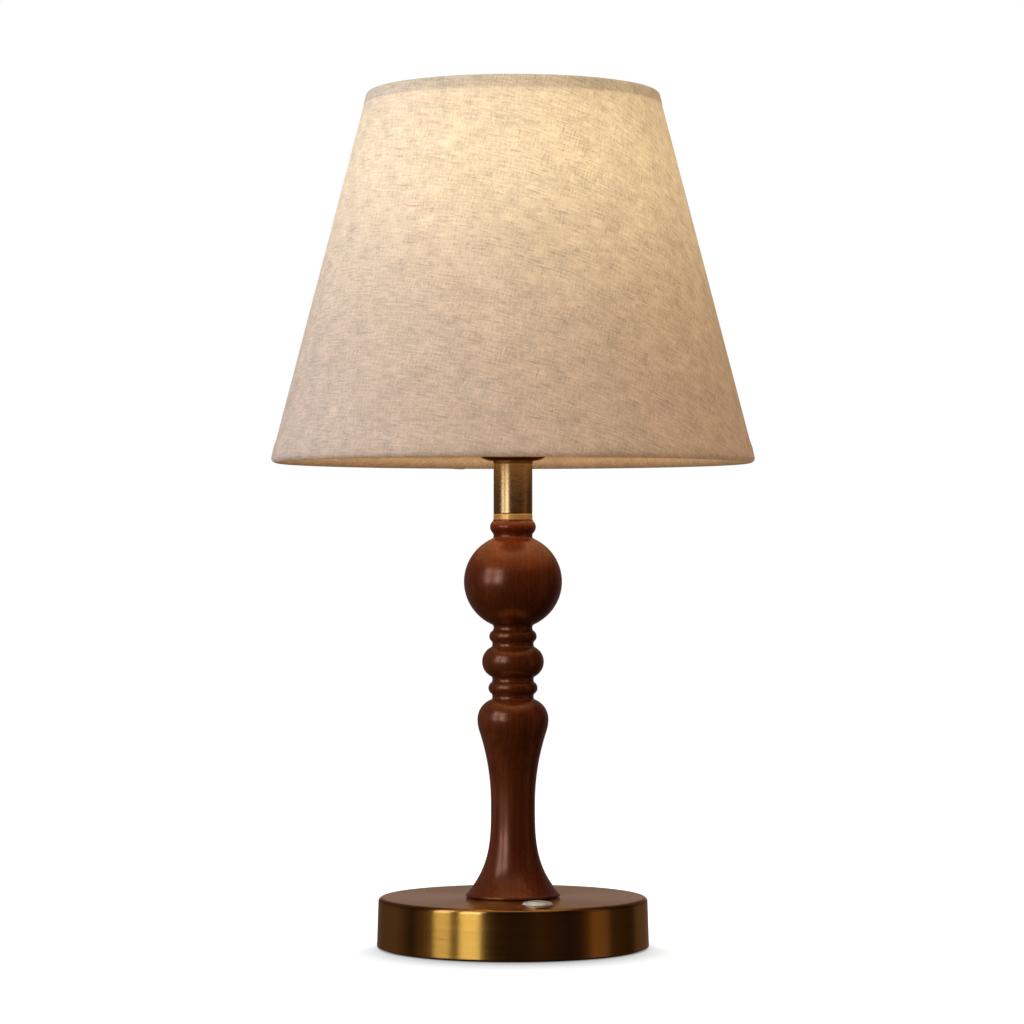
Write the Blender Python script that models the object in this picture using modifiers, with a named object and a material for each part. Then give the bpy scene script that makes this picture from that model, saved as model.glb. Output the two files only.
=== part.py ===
"""Table lamp with a turned wooden stem, a round brass base and a conical linen shade.

The lamp stands on the felt pad at z = 0, its axis is +Z and its front, where the push button is, faces -Y.
A threaded pipe runs through the base, the stem and the neck, and a nut under the weight pulls them together.
The lampholder screws onto the pipe's upper end and carries the shade between its flange and its ring nut.
All lengths are in metres and every piece is placed from the sizes below.
"""
import math

import bmesh
import bpy
from mathutils import Vector

# Clearances
SEAT_GAP = 0.0003
CUT_OVERRUN = 0.002

# Base shell, a spun brass dish that opens downwards
BASE_R = 0.070
BASE_TAPER = 0.0008
BASE_H = 0.026
BASE_WALL = 0.0014
BASE_EDGE_R = 0.0018
SHELL_LIFT = 0.0009

# Felt pad and the plate that closes the base
FELT_T = 0.0017
FELT_INSET = 0.0011
PLATE_T = 0.0015

# Cast iron weight under the top of the shell
WEIGHT_INSET = 0.0066
WEIGHT_T = 0.009
WEIGHT_EDGE = 0.0012
POST_R = 0.004
POST_INSET = 0.017
POST_COUNT = 3
NOTCH_MARGIN = 0.0016

# Countersunk screws of the bottom plate
SCREW_HEAD_R = 0.0029
SCREW_R = 0.0015
SCREW_HEAD_H = 0.0012
SCREW_L = 0.008
SCREW_TIP = 0.0012

# Threaded pipe with its washer and thin nut
PIPE_R = 0.005
PIPE_BORE_R = 0.0036
PIPE_TAIL = 0.0005
WASHER_R = 0.011
WASHER_T = 0.0016
PIPE_NUT_R = 0.0095
PIPE_NUT_T = 0.0035

# Rubber grommet where the flex leaves the back of the base
GROMMET_Z = 0.0105
GROMMET_BORE_R = 0.0035
GROMMET_NECK_R = 0.0046
GROMMET_LIP_R = 0.0062
GROMMET_LIP_T = 0.0018
GROMMET_EDGE = 0.0005

# Push button switch in the top of the base
SWITCH_INSET = 0.0134
BEZEL_TOP_R = 0.00775
BEZEL_FOOT_R = 0.0059
BEZEL_NECK_R = 0.0063
BEZEL_NECK_H = 0.0011
BEZEL_H = 0.0023
BEZEL_LIP_T = 0.0006
BEZEL_RECESS_R = 0.0050
BEZEL_RECESS_H = 0.0019
BARREL_R = 0.0049
BARREL_BORE_R = 0.0034
BARREL_L = 0.0077
BUTTON_R = 0.0047
BUTTON_T = 0.0009
BUTTON_DISH = 0.0003
BUTTON_TRAVEL = 0.0012
PLUNGER_R = 0.0031
PLUNGER_L = 0.0118
SWITCH_NUT_R = 0.0078
SWITCH_NUT_T = 0.0029
HOUSING_R = 0.0068
HOUSING_H = 0.0118
HOUSING_SOCKET_H = 0.0026
HOUSING_FLOOR_T = 0.002
HOUSING_EDGE = 0.0006
SPRING_WIRE_R = 0.0003
SPRING_R = 0.0024
SPRING_TURNS = 5
TAB_X = 0.003
TAB_W = 0.0032
TAB_T = 0.0008
TAB_H = 0.0031

# Turned stem, from its foot to its top
FOOT_R = 0.0244
FOOT_EDGE_H = 0.0015
FOOT_EDGE_INSET = 0.0006
FLARE_H = 0.0462
FLARE_POWER = 3.3
FLARE_CROWDING = 1.6
WAIST_R = 0.01135
SWELL_H = 0.0433
SWELL_HOLLOW_SHARE = 0.857
SHOULDER_R = 0.0183
SHOULDER_ROUND_R = 0.0109
GROOVE_R = 0.0108
GROOVE_H = 0.0026
GROOVE_DEPTH = 0.0004
LOW_BEAD_R = 0.0127
LOW_BEAD_H = 0.0062
MID_BEAD_R = 0.01595
MID_BEAD_H = 0.0156
HIGH_BEAD_R = 0.01225
HIGH_BEAD_H = 0.00585
NECK_GROOVE_R = 0.0102
NECK_GROOVE_H = 0.0025
BALL_R = 0.0253
BALL_HALF_H = 0.0245
COLLAR_R = 0.01185
COLLAR_H = 0.0064
LAND_R = 0.0103
LAND_H = 0.0005

# Brass ferrule and neck tube
FERRULE_R = 0.01005
FERRULE_H = 0.0028
SPIGOT_H = 0.003
TUBE_R = 0.010
TUBE_WALL = 0.001
TUBE_L = 0.0253

# Lampholder: dome cap, skirt, porcelain insert and screw shell
HUB_R = 0.0102
HUB_H = 0.0014
HUB_COLLAR_R = 0.0075
HUB_COLLAR_H = 0.0045
CAP_R = 0.0202
CAP_WALL = 0.001
CAP_DOME_H = 0.0085
CAP_RIM_H = 0.0072
SKIRT_R = 0.0196
SKIRT_WALL = 0.0024
SKIRT_H = 0.0377
SKIRT_TONGUE_H = 0.005
SKIRT_LIP = 0.0012
FLANGE_Z = 0.0127
FLANGE_R = 0.026
FLANGE_T = 0.002
INSERT_WALL = 0.0027
INSERT_H = 0.0395
INSERT_FLOOR_T = 0.0125
INSERT_SINK = 0.0075
TERMINAL_X = 0.006
TERMINAL_DEPTH = 0.005
SHELL_WALL = 0.0005
SHELL_L = 0.0247
TONGUE_W = 0.005
TONGUE_T = 0.0005
TONGUE_RISE = 0.0016
TONGUE_REACH = 0.0095
TONGUE_FOLD = 0.0038
TONGUE_END = 0.0033
RING_NUT_R = 0.026
RING_NUT_T = 0.0055
RING_NUT_SCALLOP = 0.0007
RING_NUT_SCALLOPS = 16

# Screw-in bulb
BULB_CAP_R = 0.0131
BULB_CAP_L = 0.0189
BULB_CAP_TOE = 0.0016
BULB_TIP_R = 0.0045
BULB_TIP_T = 0.0012
INSULATOR_R = 0.0112
INSULATOR_H = 0.003
BULB_BODY_FOOT_R = 0.0136
BULB_BODY_H = 0.0427
BULB_HOLLOW_SHARE = 0.62
BULB_GLOBE_R = 0.030
BULB_GLOBE_WALL = 0.0011
BULB_SHOULDER_R = 0.0278
LED_BOARD_R = 0.020
LED_BOARD_T = 0.0016
TIP_LIFT = 0.0003

# Shade
SHADE_R = 0.1248
SHADE_TOP_R = 0.0752
SHADE_H = 0.1908
SHADE_RISE = 0.0299
LINEN_T = 0.0006
LINER_T = 0.0005
SHADE_WIRE_R = 0.0014
HEM_H = 0.0075
HEM_ROLL_H = 0.0052
HEM_WRAP_DEGREES = 60
CARRIER_R = 0.030
CARRIER_T = 0.0015
ARM_R = 0.0013
ARM_COUNT = 3
ARM_FIRST_DEGREES = 77.5
ARM_BEND_POWER = 3.0
ARM_ROOM = 0.0005

# Leads from the switch and from the crimp joint up to the lampholder
LEAD_R = 0.0009
LEAD_X = 0.0013
LEAD_LIFT = 0.0023
LEAD_WAY_SHARES = (0.75, 0.5, 0.3)
CRIMP_R = 0.0026
CRIMP_L = 0.010
CRIMP_CLEAR = 0.005
CRIMP_EDGE = 0.0008
CRIMP_MOUTH = 0.0012

# How finely round shapes are divided
BASE_SIDES = 44
STEM_SIDES = 24
SHADE_SIDES = 36
HOLDER_SIDES = 20
BULB_SIDES = 20
SMALL_SIDES = 14
WIRE_SIDES = 6
WIRE_ROUNDNESS = 1
ARC_STEPS = 4
EDGE_STEPS = 3
FLARE_STEPS = 7
SWELL_STEPS = 4
BALL_STEPS = 8
BODY_STEPS = 4
GLOBE_STEPS = 6
HEM_STEPS = 5
ARM_STEPS = 7
SPRING_STEPS = 7
HEX_SIDES = 6
ROUTE_STEPS = 3
WELD_DISTANCE = 0.00001

# Heights and radii that follow from the sizes above
PLATE_TOP = FELT_T + SEAT_GAP + PLATE_T
TOP_UNDERSIDE = BASE_H - BASE_WALL
WEIGHT_TOP = TOP_UNDERSIDE - SEAT_GAP
WEIGHT_BOTTOM = WEIGHT_TOP - WEIGHT_T
WASHER_TOP = WEIGHT_BOTTOM - SEAT_GAP
PIPE_NUT_TOP = WASHER_TOP - WASHER_T - SEAT_GAP
PIPE_FOOT = PIPE_NUT_TOP - PIPE_NUT_T - PIPE_TAIL
PIPE_HOLE_R = PIPE_R + SEAT_GAP
SHELL_INNER_R = BASE_R - BASE_WALL
SWITCH_Y = BASE_R - SWITCH_INSET
WEIGHT_R = SHELL_INNER_R - WEIGHT_INSET
POST_CIRCLE_R = WEIGHT_R - POST_INSET
CRIMP_Y = POST_CIRCLE_R - POST_R - CRIMP_CLEAR - CRIMP_L
STEM_FOOT = BASE_H + SEAT_GAP
BALL_CUT_H = BALL_HALF_H * math.sqrt(1 - (NECK_GROOVE_R / BALL_R) ** 2)
SHOULDER_RISE = math.sqrt(SHOULDER_ROUND_R ** 2 - (SHOULDER_ROUND_R - SHOULDER_R + GROOVE_R) ** 2)
LOW_BEAD_Z = FOOT_EDGE_H + FLARE_H + SWELL_H + SHOULDER_RISE + GROOVE_H
MID_BEAD_Z = LOW_BEAD_Z + LOW_BEAD_H + GROOVE_H
HIGH_BEAD_Z = MID_BEAD_Z + MID_BEAD_H + GROOVE_H
BALL_Z = HIGH_BEAD_Z + HIGH_BEAD_H + GROOVE_H
COLLAR_Z = BALL_Z + 2 * BALL_CUT_H + NECK_GROOVE_H
STEM_H = COLLAR_Z + COLLAR_H + LAND_H
FERRULE_Z = STEM_FOOT + STEM_H + SEAT_GAP
TUBE_Z = FERRULE_Z + FERRULE_H + SEAT_GAP
CAP_Z = TUBE_Z + TUBE_L + SEAT_GAP
CAP_RIM_Z = CAP_Z + HUB_H + CAP_DOME_H + CAP_RIM_H
SKIRT_Z = CAP_RIM_Z + SEAT_GAP
SKIRT_BORE_R = SKIRT_R - SKIRT_WALL
INSERT_R = SKIRT_BORE_R - SEAT_GAP
INSERT_Z = SKIRT_Z - INSERT_SINK
INSERT_BORE_R = INSERT_R - INSERT_WALL
SOCKET_FLOOR_Z = INSERT_Z + INSERT_FLOOR_T
SHELL_R = INSERT_BORE_R - SEAT_GAP
CARRIER_Z = SKIRT_Z + FLANGE_Z + SEAT_GAP
RING_NUT_Z = CARRIER_Z + CARRIER_T + SEAT_GAP
BULB_Z = SOCKET_FLOOR_Z + SEAT_GAP + TONGUE_RISE + TONGUE_T + TIP_LIFT
SHADE_Z = CARRIER_Z - SHADE_RISE
SHADE_SLANT = math.hypot(SHADE_H, SHADE_R - SHADE_TOP_R)
HEM_R = SHADE_WIRE_R + SEAT_GAP + LINEN_T / 2


def begin():
    """Empties the scene and makes one collection for the lamp and one for its cutters."""
    for old in list(bpy.data.objects):
        bpy.data.objects.remove(old)
    found = []
    for title in ("table_lamp", "cutters"):
        group = bpy.data.collections.new(title)
        bpy.context.scene.collection.children.link(group)
        found.append(group)
    return found


LAMP, CUTTERS = begin()


def finish(name, colour, roughness, metallic=0.0):
    """A Principled material with one colour, roughness and metallic value."""
    made = bpy.data.materials.new(name)
    made.use_nodes = True
    shader = made.node_tree.nodes["Principled BSDF"]
    shader.inputs["Base Color"].default_value = (*colour, 1.0)
    shader.inputs["Roughness"].default_value = roughness
    shader.inputs["Metallic"].default_value = metallic
    return made


BRASS = finish("brushed_brass", (0.46, 0.30, 0.13), 0.32, 1.0)
WOOD = finish("stained_wood", (0.19, 0.055, 0.022), 0.38)
LINEN = finish("linen", (0.66, 0.55, 0.43), 0.92)
LINER = finish("white_liner", (0.85, 0.80, 0.70), 0.60)
CHROME = finish("polished_chrome", (0.80, 0.79, 0.76), 0.10, 1.0)
STEEL = finish("zinc_steel", (0.56, 0.56, 0.55), 0.38, 1.0)
IRON = finish("cast_iron", (0.09, 0.09, 0.09), 0.75, 1.0)
FELT = finish("black_felt", (0.02, 0.02, 0.02), 0.95)
RUBBER = finish("black_rubber", (0.03, 0.03, 0.03), 0.70)
BLACK_PLASTIC = finish("black_plastic", (0.04, 0.04, 0.04), 0.45)
WHITE_PLASTIC = finish("white_plastic", (0.85, 0.84, 0.82), 0.40)
PORCELAIN = finish("porcelain", (0.88, 0.87, 0.84), 0.20)
GLOBE = finish("frosted_globe", (0.95, 0.92, 0.85), 0.35)
LED_BOARD = finish("led_board", (0.92, 0.90, 0.72), 0.50)
LEAD_BROWN = finish("brown_lead", (0.16, 0.06, 0.02), 0.50)
LEAD_BLUE = finish("blue_lead", (0.03, 0.09, 0.38), 0.50)


def axis(name, height, forward=0.0):
    """An empty on a vertical axis, which the pieces turned about that axis are parented to."""
    empty = bpy.data.objects.new(name, None)
    empty.location = (0.0, -forward, height)
    LAMP.objects.link(empty)
    return empty


def placed(obj, material, parent=None, helper=False):
    """Puts an object in its collection, under its empty, with its material, or marks it as a helper."""
    for group in list(obj.users_collection):
        group.objects.unlink(obj)
    (CUTTERS if helper else LAMP).objects.link(obj)
    obj.parent = parent
    if helper:
        obj.hide_render = True
        obj.display_type = "WIRE"
        return obj
    obj.data.materials.clear()
    obj.data.materials.append(material)
    if obj.type == "MESH":
        obj.data.shade_smooth()
        obj.data.set_sharp_from_angle(angle=math.radians(35))
    return obj


def turned(name, outline, sides, material=None, parent=None, closed=True, helper=False):
    """Turns an outline of (radius, height) points about Z with a Screw modifier.

    A closed outline runs down its outer side and back up its bore. An open one starts and ends on the axis,
    or is the line of a thin shell that a Solidify modifier thickens.
    """
    mesh = bpy.data.meshes.new(name)
    points = [(radius, 0.0, height) for radius, height in outline]
    edges = [(i, i + 1) for i in range(len(points) - 1)]
    if closed:
        edges.append((len(points) - 1, 0))
    mesh.from_pydata(points, edges, [])
    obj = placed(bpy.data.objects.new(name, mesh), material, parent, helper)
    screw = obj.modifiers.new("turn", "SCREW")
    screw.axis = "Z"
    screw.steps = sides
    screw.render_steps = sides
    screw.use_smooth_shade = True
    screw.use_merge_vertices = True
    screw.merge_threshold = WELD_DISTANCE
    screw.use_normal_calculate = False
    return obj


def thickened(obj, thickness, offset=-1.0):
    """Gives an open surface its wall: offset -1 grows inwards and 0 grows both ways."""
    wall = obj.modifiers.new("wall", "SOLIDIFY")
    wall.thickness = thickness
    wall.offset = offset
    wall.use_even_offset = True
    return obj


def joined(obj, other, operation):
    """Adds a Boolean modifier with the exact solver."""
    step = obj.modifiers.new(operation.lower(), "BOOLEAN")
    step.operation = operation
    step.solver = "EXACT"
    step.object = other
    return obj


def cylinder(name, radius, height, centre, sides, turn=(0.0, 0.0, 0.0)):
    """A cylinder centred on a point."""
    bpy.ops.mesh.primitive_cylinder_add(
        vertices=sides,
        radius=radius,
        depth=height,
        location=centre,
        rotation=turn,
    )
    obj = bpy.context.active_object
    obj.name = name
    return obj


def box(name, size, centre):
    """A box of the given size, with that size applied to its mesh."""
    bpy.ops.mesh.primitive_cube_add(size=1.0, location=centre)
    obj = bpy.context.active_object
    obj.name = name
    for corner in obj.data.vertices:
        corner.co = Vector(corner.co) * Vector(size)
    return obj


def circle(radius, sides):
    """The corners of a regular outline about the origin."""
    steps = [2 * math.pi * k / sides for k in range(sides)]
    return [(radius * math.cos(a), radius * math.sin(a)) for a in steps]


def plate(name, outlines, thickness, material, parent, height, turn=(0.0, 0.0, 0.0)):
    """A flat piece cut from outlines, the first its edge and the rest its holes, from height upwards."""
    flat = bpy.data.curves.new(name, "CURVE")
    flat.dimensions = "2D"
    flat.fill_mode = "BOTH"
    flat.extrude = thickness / 2
    for outline in outlines:
        line = flat.splines.new("POLY")
        line.points.add(len(outline) - 1)
        for point, (x, y) in zip(line.points, outline):
            point.co = (x, y, 0.0, 1.0)
        line.use_cyclic_u = True
    obj = placed(bpy.data.objects.new(name, flat), material, parent)
    obj.location.z = height + thickness / 2
    obj.rotation_euler = turn
    return obj


def wire(name, points, radius, rings, material=None, parent=None, helper=False):
    """A round wire along points, as a curve with a bevel and filled caps."""
    line = bpy.data.curves.new(name, "CURVE")
    line.dimensions = "3D"
    line.bevel_depth = radius
    line.bevel_resolution = rings
    line.use_fill_caps = True
    spline = line.splines.new("POLY")
    spline.points.add(len(points) - 1)
    for point, place in zip(spline.points, points):
        point.co = (*place, 1.0)
    return placed(bpy.data.objects.new(name, line), material, parent, helper)


def as_mesh(obj):
    """Turns a curve into a helper mesh with its caps welded, ready for a Boolean."""
    bpy.context.view_layer.update()
    evaluated = obj.evaluated_get(bpy.context.evaluated_depsgraph_get())
    mesh = bpy.data.meshes.new_from_object(evaluated)
    work = bmesh.new()
    work.from_mesh(mesh)
    bmesh.ops.remove_doubles(work, verts=work.verts, dist=WELD_DISTANCE)
    work.to_mesh(mesh)
    work.free()
    solid = bpy.data.objects.new(obj.name + "_solid", mesh)
    solid.matrix_world = obj.matrix_world
    bpy.data.objects.remove(obj)
    return placed(solid, None, None, helper=True)


def arc(centre_r, centre_z, radius, start, stop, steps, height=None):
    """Points of an arc between two angles in degrees, 0 outwards and 90 up; a height makes it an ellipse."""
    tall = radius if height is None else height
    found = []
    for k in range(steps + 1):
        angle = math.radians(start + (stop - start) * k / steps)
        found.append((centre_r + radius * math.cos(angle), centre_z + tall * math.sin(angle)))
    return found


def bead(foot_z, height, groove_r, bead_r, steps):
    """A bead's outline, upwards: the circular arc on a chord of that height that reaches bead_r."""
    rise = bead_r - groove_r
    radius = (height ** 2 / 4 + rise ** 2) / (2 * rise)
    half_angle = math.degrees(math.asin(height / 2 / radius))
    return arc(bead_r - radius, foot_z + height / 2, radius, -half_angle, half_angle, steps)


def ogee(low, high, hollow_share, steps):
    """A hollow arc and then a round one, tangent to each other and upright at both ends, going up."""
    out, up = high[0] - low[0], high[1] - low[1]
    turn = 2 * math.atan2(out, up)
    total = up / math.sin(turn)
    hollow, crown = total * hollow_share, total * (1 - hollow_share)
    found = []
    for k in range(steps + 1):
        angle = turn * k / steps
        found.append((low[0] + hollow * (1 - math.cos(angle)), low[1] + hollow * math.sin(angle)))
    for k in range(1, steps + 1):
        angle = turn * (1 - k / steps)
        found.append((high[0] - crown * (1 - math.cos(angle)), high[1] - crown * math.sin(angle)))
    return found


def ring_outline(inner_r, outer_r, low, high, edge=0.0):
    """The closed section of a ring: down its outer side, with an optional chamfer, and up its bore."""
    outer = [(outer_r, high), (outer_r, low)]
    if edge:
        side = [(outer_r, high - edge), (outer_r, low + edge)]
        outer = [(outer_r - edge, high), *side, (outer_r - edge, low)]
    return outer + [(inner_r, low), (inner_r, high)]


def smooth_route(points, steps):
    """A smooth curve through hand-placed points, as Catmull-Rom spans."""
    ends = [points[0], *points, points[-1]]
    found = []
    for before, start, stop, after in zip(ends, ends[1:], ends[2:], ends[3:]):
        a, b, c, d = (Vector(p) for p in (before, start, stop, after))
        for k in range(steps):
            t = k / steps
            straight = 2 * b + (c - a) * t
            curved = (2 * a - 5 * b + 4 * c - d) * t ** 2 + (3 * b - a - 3 * c + d) * t ** 3
            found.append(tuple((straight + curved) / 2))
    return [*found, tuple(points[-1])]


def around(radius, count, first_degrees):
    """Points spaced evenly on a circle, as (x, y, angle)."""
    angles = [math.radians(first_degrees + 360 * k / count) for k in range(count)]
    return [(radius * math.cos(a), radius * math.sin(a), a) for a in angles]


def base_shell():
    """The spun dish: from the pipe hole out over the rounded edge and down the tapered side."""
    top_r = BASE_R - BASE_TAPER
    edge = arc(top_r - BASE_EDGE_R, BASE_H - BASE_EDGE_R, BASE_EDGE_R, 90, 0, EDGE_STEPS)
    line = [(PIPE_HOLE_R, BASE_H), *edge, (BASE_R, SHELL_LIFT)]
    shell = turned("base_shell", line, BASE_SIDES, BRASS, closed=False)
    thickened(shell, BASE_WALL)
    depth = BASE_WALL + 2 * CUT_OVERRUN
    hole = cylinder("switch_hole", BARREL_R + SEAT_GAP, depth, (0.0, -SWITCH_Y, BASE_H), SMALL_SIDES)
    joined(shell, placed(hole, None, helper=True), "DIFFERENCE")
    flex_r = GROMMET_NECK_R + SEAT_GAP
    quarter = (math.radians(90), 0.0, 0.0)
    hole = cylinder("flex_hole", flex_r, depth, (0.0, BASE_R, GROMMET_Z), SMALL_SIDES, quarter)
    joined(shell, placed(hole, None, helper=True), "DIFFERENCE")


def base_weight():
    """The iron disc with its cast posts, and the notch that it leaves for the switch."""
    section = ring_outline(PIPE_HOLE_R, WEIGHT_R, WEIGHT_BOTTOM, WEIGHT_TOP, WEIGHT_EDGE)
    weight = turned("base_weight", section, BASE_SIDES, IRON)
    post_low = PLATE_TOP + SEAT_GAP
    post_h = WEIGHT_BOTTOM + CUT_OVERRUN - post_low
    pilot_h = SCREW_L + CUT_OVERRUN
    for k, (x, y, _) in enumerate(around(POST_CIRCLE_R, POST_COUNT, 90)):
        post = cylinder(f"post_{k}", POST_R, post_h, (x, y, post_low + post_h / 2), SMALL_SIDES)
        joined(weight, placed(post, None, helper=True), "UNION")
        centre = (x, y, post_low + SCREW_L / 2)
        pilot = cylinder(f"pilot_{k}", SCREW_R + SEAT_GAP, pilot_h, centre, SMALL_SIDES)
        joined(weight, placed(pilot, None, helper=True), "DIFFERENCE")
    notch_r = max(HOUSING_R, SWITCH_NUT_R) + NOTCH_MARGIN
    notch_h = WEIGHT_T + 2 * CUT_OVERRUN
    middle = WEIGHT_BOTTOM + WEIGHT_T / 2
    round_end = cylinder("notch_round", notch_r, notch_h, (0.0, -SWITCH_Y, middle), SMALL_SIDES)
    joined(weight, placed(round_end, None, helper=True), "DIFFERENCE")
    reach = WEIGHT_R + CUT_OVERRUN
    mouth = box("notch_mouth", (2 * notch_r, reach, notch_h), (0.0, -SWITCH_Y - reach / 2, middle))
    joined(weight, placed(mouth, None, helper=True), "DIFFERENCE")


def bottom_pieces():
    """The plate that closes the base, its countersunk screws and the felt pad that the lamp stands on."""
    plate_low = FELT_T + SEAT_GAP
    centre = (0.0, 0.0, plate_low + PLATE_T / 2)
    disc = cylinder("bottom_plate", SHELL_INNER_R - SEAT_GAP, PLATE_T, centre, BASE_SIDES)
    placed(disc, STEEL)
    felt_r = SHELL_INNER_R - FELT_INSET
    placed(cylinder("felt_pad", felt_r, FELT_T, (0.0, 0.0, FELT_T / 2), BASE_SIDES), FELT)
    room = SEAT_GAP
    for k, (x, y, _) in enumerate(around(POST_CIRCLE_R, POST_COUNT, 90)):
        sink = turned(
            f"sink_{k}",
            [
                (0.0, PLATE_T + CUT_OVERRUN),
                (SCREW_R + room, PLATE_T + CUT_OVERRUN),
                (SCREW_R + room, SCREW_HEAD_H),
                (SCREW_HEAD_R + room, 0.0),
                (SCREW_HEAD_R + room, -CUT_OVERRUN),
                (0.0, -CUT_OVERRUN),
            ],
            SMALL_SIDES,
            closed=False,
            helper=True,
        )
        sink.location = (x, y, plate_low)
        joined(disc, sink, "DIFFERENCE")
        outline = [
            (0.0, SCREW_L),
            (SCREW_R, SCREW_L - SCREW_TIP),
            (SCREW_R, SCREW_HEAD_H),
            (SCREW_HEAD_R, 0.0),
            (0.0, 0.0),
        ]
        screw = turned(f"plate_screw_{k + 1}", outline, SMALL_SIDES, STEEL, closed=False)
        screw.location = (x, y, plate_low)


def grommet():
    """The rubber bush in the back wall: an outer lip, a neck in the hole and a lip behind the wall."""
    inner_face = math.sqrt((SHELL_INNER_R - BASE_TAPER) ** 2 - GROMMET_LIP_R ** 2) - SEAT_GAP
    outer_face = BASE_R + SEAT_GAP
    length = outer_face + GROMMET_LIP_T - (inner_face - GROMMET_LIP_T)
    behind = GROMMET_LIP_T
    front = length - GROMMET_LIP_T
    outline = [
        (GROMMET_LIP_R - GROMMET_EDGE, length),
        (GROMMET_LIP_R, length - GROMMET_EDGE),
        (GROMMET_LIP_R, front),
        (GROMMET_NECK_R, front),
        (GROMMET_NECK_R, behind),
        (GROMMET_LIP_R, behind),
        (GROMMET_LIP_R, GROMMET_EDGE),
        (GROMMET_LIP_R - GROMMET_EDGE, 0.0),
        (GROMMET_BORE_R, 0.0),
        (GROMMET_BORE_R, length),
    ]
    bush = turned("cord_grommet", outline, SMALL_SIDES, RUBBER)
    bush.rotation_euler = (math.radians(-90), 0.0, 0.0)
    bush.location = (0.0, inner_face - GROMMET_LIP_T, GROMMET_Z)


def switch():
    """The push button switch, turned about its own axis, whose empty sits on the top of the base."""
    at = axis("switch_axis", BASE_H, SWITCH_Y)
    foot = SEAT_GAP
    rim = foot + BEZEL_H
    barrel_foot = foot - BARREL_L
    recess_floor = rim - BEZEL_RECESS_H
    bezel = [
        (BEZEL_TOP_R, rim),
        (BEZEL_TOP_R, rim - BEZEL_LIP_T),
        (BEZEL_NECK_R, foot + BEZEL_NECK_H),
        (BEZEL_FOOT_R, foot),
        (BARREL_R, foot),
        (BARREL_R, barrel_foot),
        (BARREL_BORE_R, barrel_foot),
        (BARREL_BORE_R, recess_floor),
        (BEZEL_RECESS_R, recess_floor),
        (BEZEL_RECESS_R, rim),
    ]
    turned("switch_bezel", bezel, SMALL_SIDES, CHROME, at)
    cap_low = recess_floor + SEAT_GAP + BUTTON_TRAVEL
    cap_high = cap_low + BUTTON_T
    plunger_foot = cap_low - PLUNGER_L
    button = [
        (0.0, cap_high - BUTTON_DISH),
        (BUTTON_R / 2, cap_high - BUTTON_DISH / 2),
        (BUTTON_R - BUTTON_DISH, cap_high),
        (BUTTON_R, cap_high - BUTTON_DISH),
        (BUTTON_R, cap_low),
        (PLUNGER_R, cap_low),
        (PLUNGER_R, plunger_foot),
        (0.0, plunger_foot),
    ]
    turned("switch_button", button, SMALL_SIDES, CHROME, at, closed=False)
    nut_top = -BASE_WALL - SEAT_GAP
    hexagon = circle(SWITCH_NUT_R, HEX_SIDES)
    hole = circle(BARREL_R + SEAT_GAP, SMALL_SIDES)
    plate("switch_nut", [hexagon, hole], SWITCH_NUT_T, STEEL, at, nut_top - SWITCH_NUT_T)
    top = nut_top - SWITCH_NUT_T - SEAT_GAP
    low = top - HOUSING_H
    cavity_r = BARREL_BORE_R
    housing = [
        (HOUSING_R - HOUSING_EDGE, top),
        (HOUSING_R, top - HOUSING_EDGE),
        (HOUSING_R, low + HOUSING_EDGE),
        (HOUSING_R - HOUSING_EDGE, low),
        (0.0, low),
        (0.0, low + HOUSING_FLOOR_T),
        (cavity_r, low + HOUSING_FLOOR_T),
        (cavity_r, top - HOUSING_SOCKET_H),
        (BARREL_R + SEAT_GAP, top - HOUSING_SOCKET_H),
        (BARREL_R + SEAT_GAP, top),
    ]
    turned("switch_housing", [*housing[5:], *housing[:5]], SMALL_SIDES, BLACK_PLASTIC, at, closed=False)
    spring_low = low + HOUSING_FLOOR_T + SEAT_GAP + SPRING_WIRE_R
    spring_high = plunger_foot - SEAT_GAP - SPRING_WIRE_R
    helix = []
    for k in range(SPRING_TURNS * SPRING_STEPS + 1):
        angle = 2 * math.pi * k / SPRING_STEPS
        climb = (spring_high - spring_low) * k / (SPRING_TURNS * SPRING_STEPS)
        helix.append((SPRING_R * math.cos(angle), SPRING_R * math.sin(angle), spring_low + climb))
    wire("switch_spring", helix, SPRING_WIRE_R, WIRE_ROUNDNESS, STEEL, at)
    for side, title in ((-1, "switch_tab_feed"), (1, "switch_tab_out")):
        tab = box(title, (TAB_T, TAB_W, TAB_H), (side * TAB_X, 0.0, low - SEAT_GAP - TAB_H / 2))
        placed(tab, BRASS, at)
    return BASE_H + low - SEAT_GAP - TAB_H


def pipe_and_nut():
    """The threaded pipe, and under the weight its washer and thin nut."""
    top = CAP_Z + HUB_H + HUB_COLLAR_H
    turned("threaded_pipe", ring_outline(PIPE_BORE_R, PIPE_R, PIPE_FOOT, top), SMALL_SIDES, STEEL)
    washer = ring_outline(PIPE_HOLE_R, WASHER_R, WASHER_TOP - WASHER_T, WASHER_TOP)
    turned("pipe_washer", washer, SMALL_SIDES, STEEL)
    hexagon = circle(PIPE_NUT_R, HEX_SIDES)
    hole = circle(PIPE_HOLE_R, SMALL_SIDES)
    plate("pipe_nut", [hexagon, hole], PIPE_NUT_T, STEEL, None, PIPE_NUT_TOP - PIPE_NUT_T)


def groove(low, height, radius):
    """The lowest line of a narrow groove between two turned features."""
    return [(radius - GROOVE_DEPTH, low + height / 2)]


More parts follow.
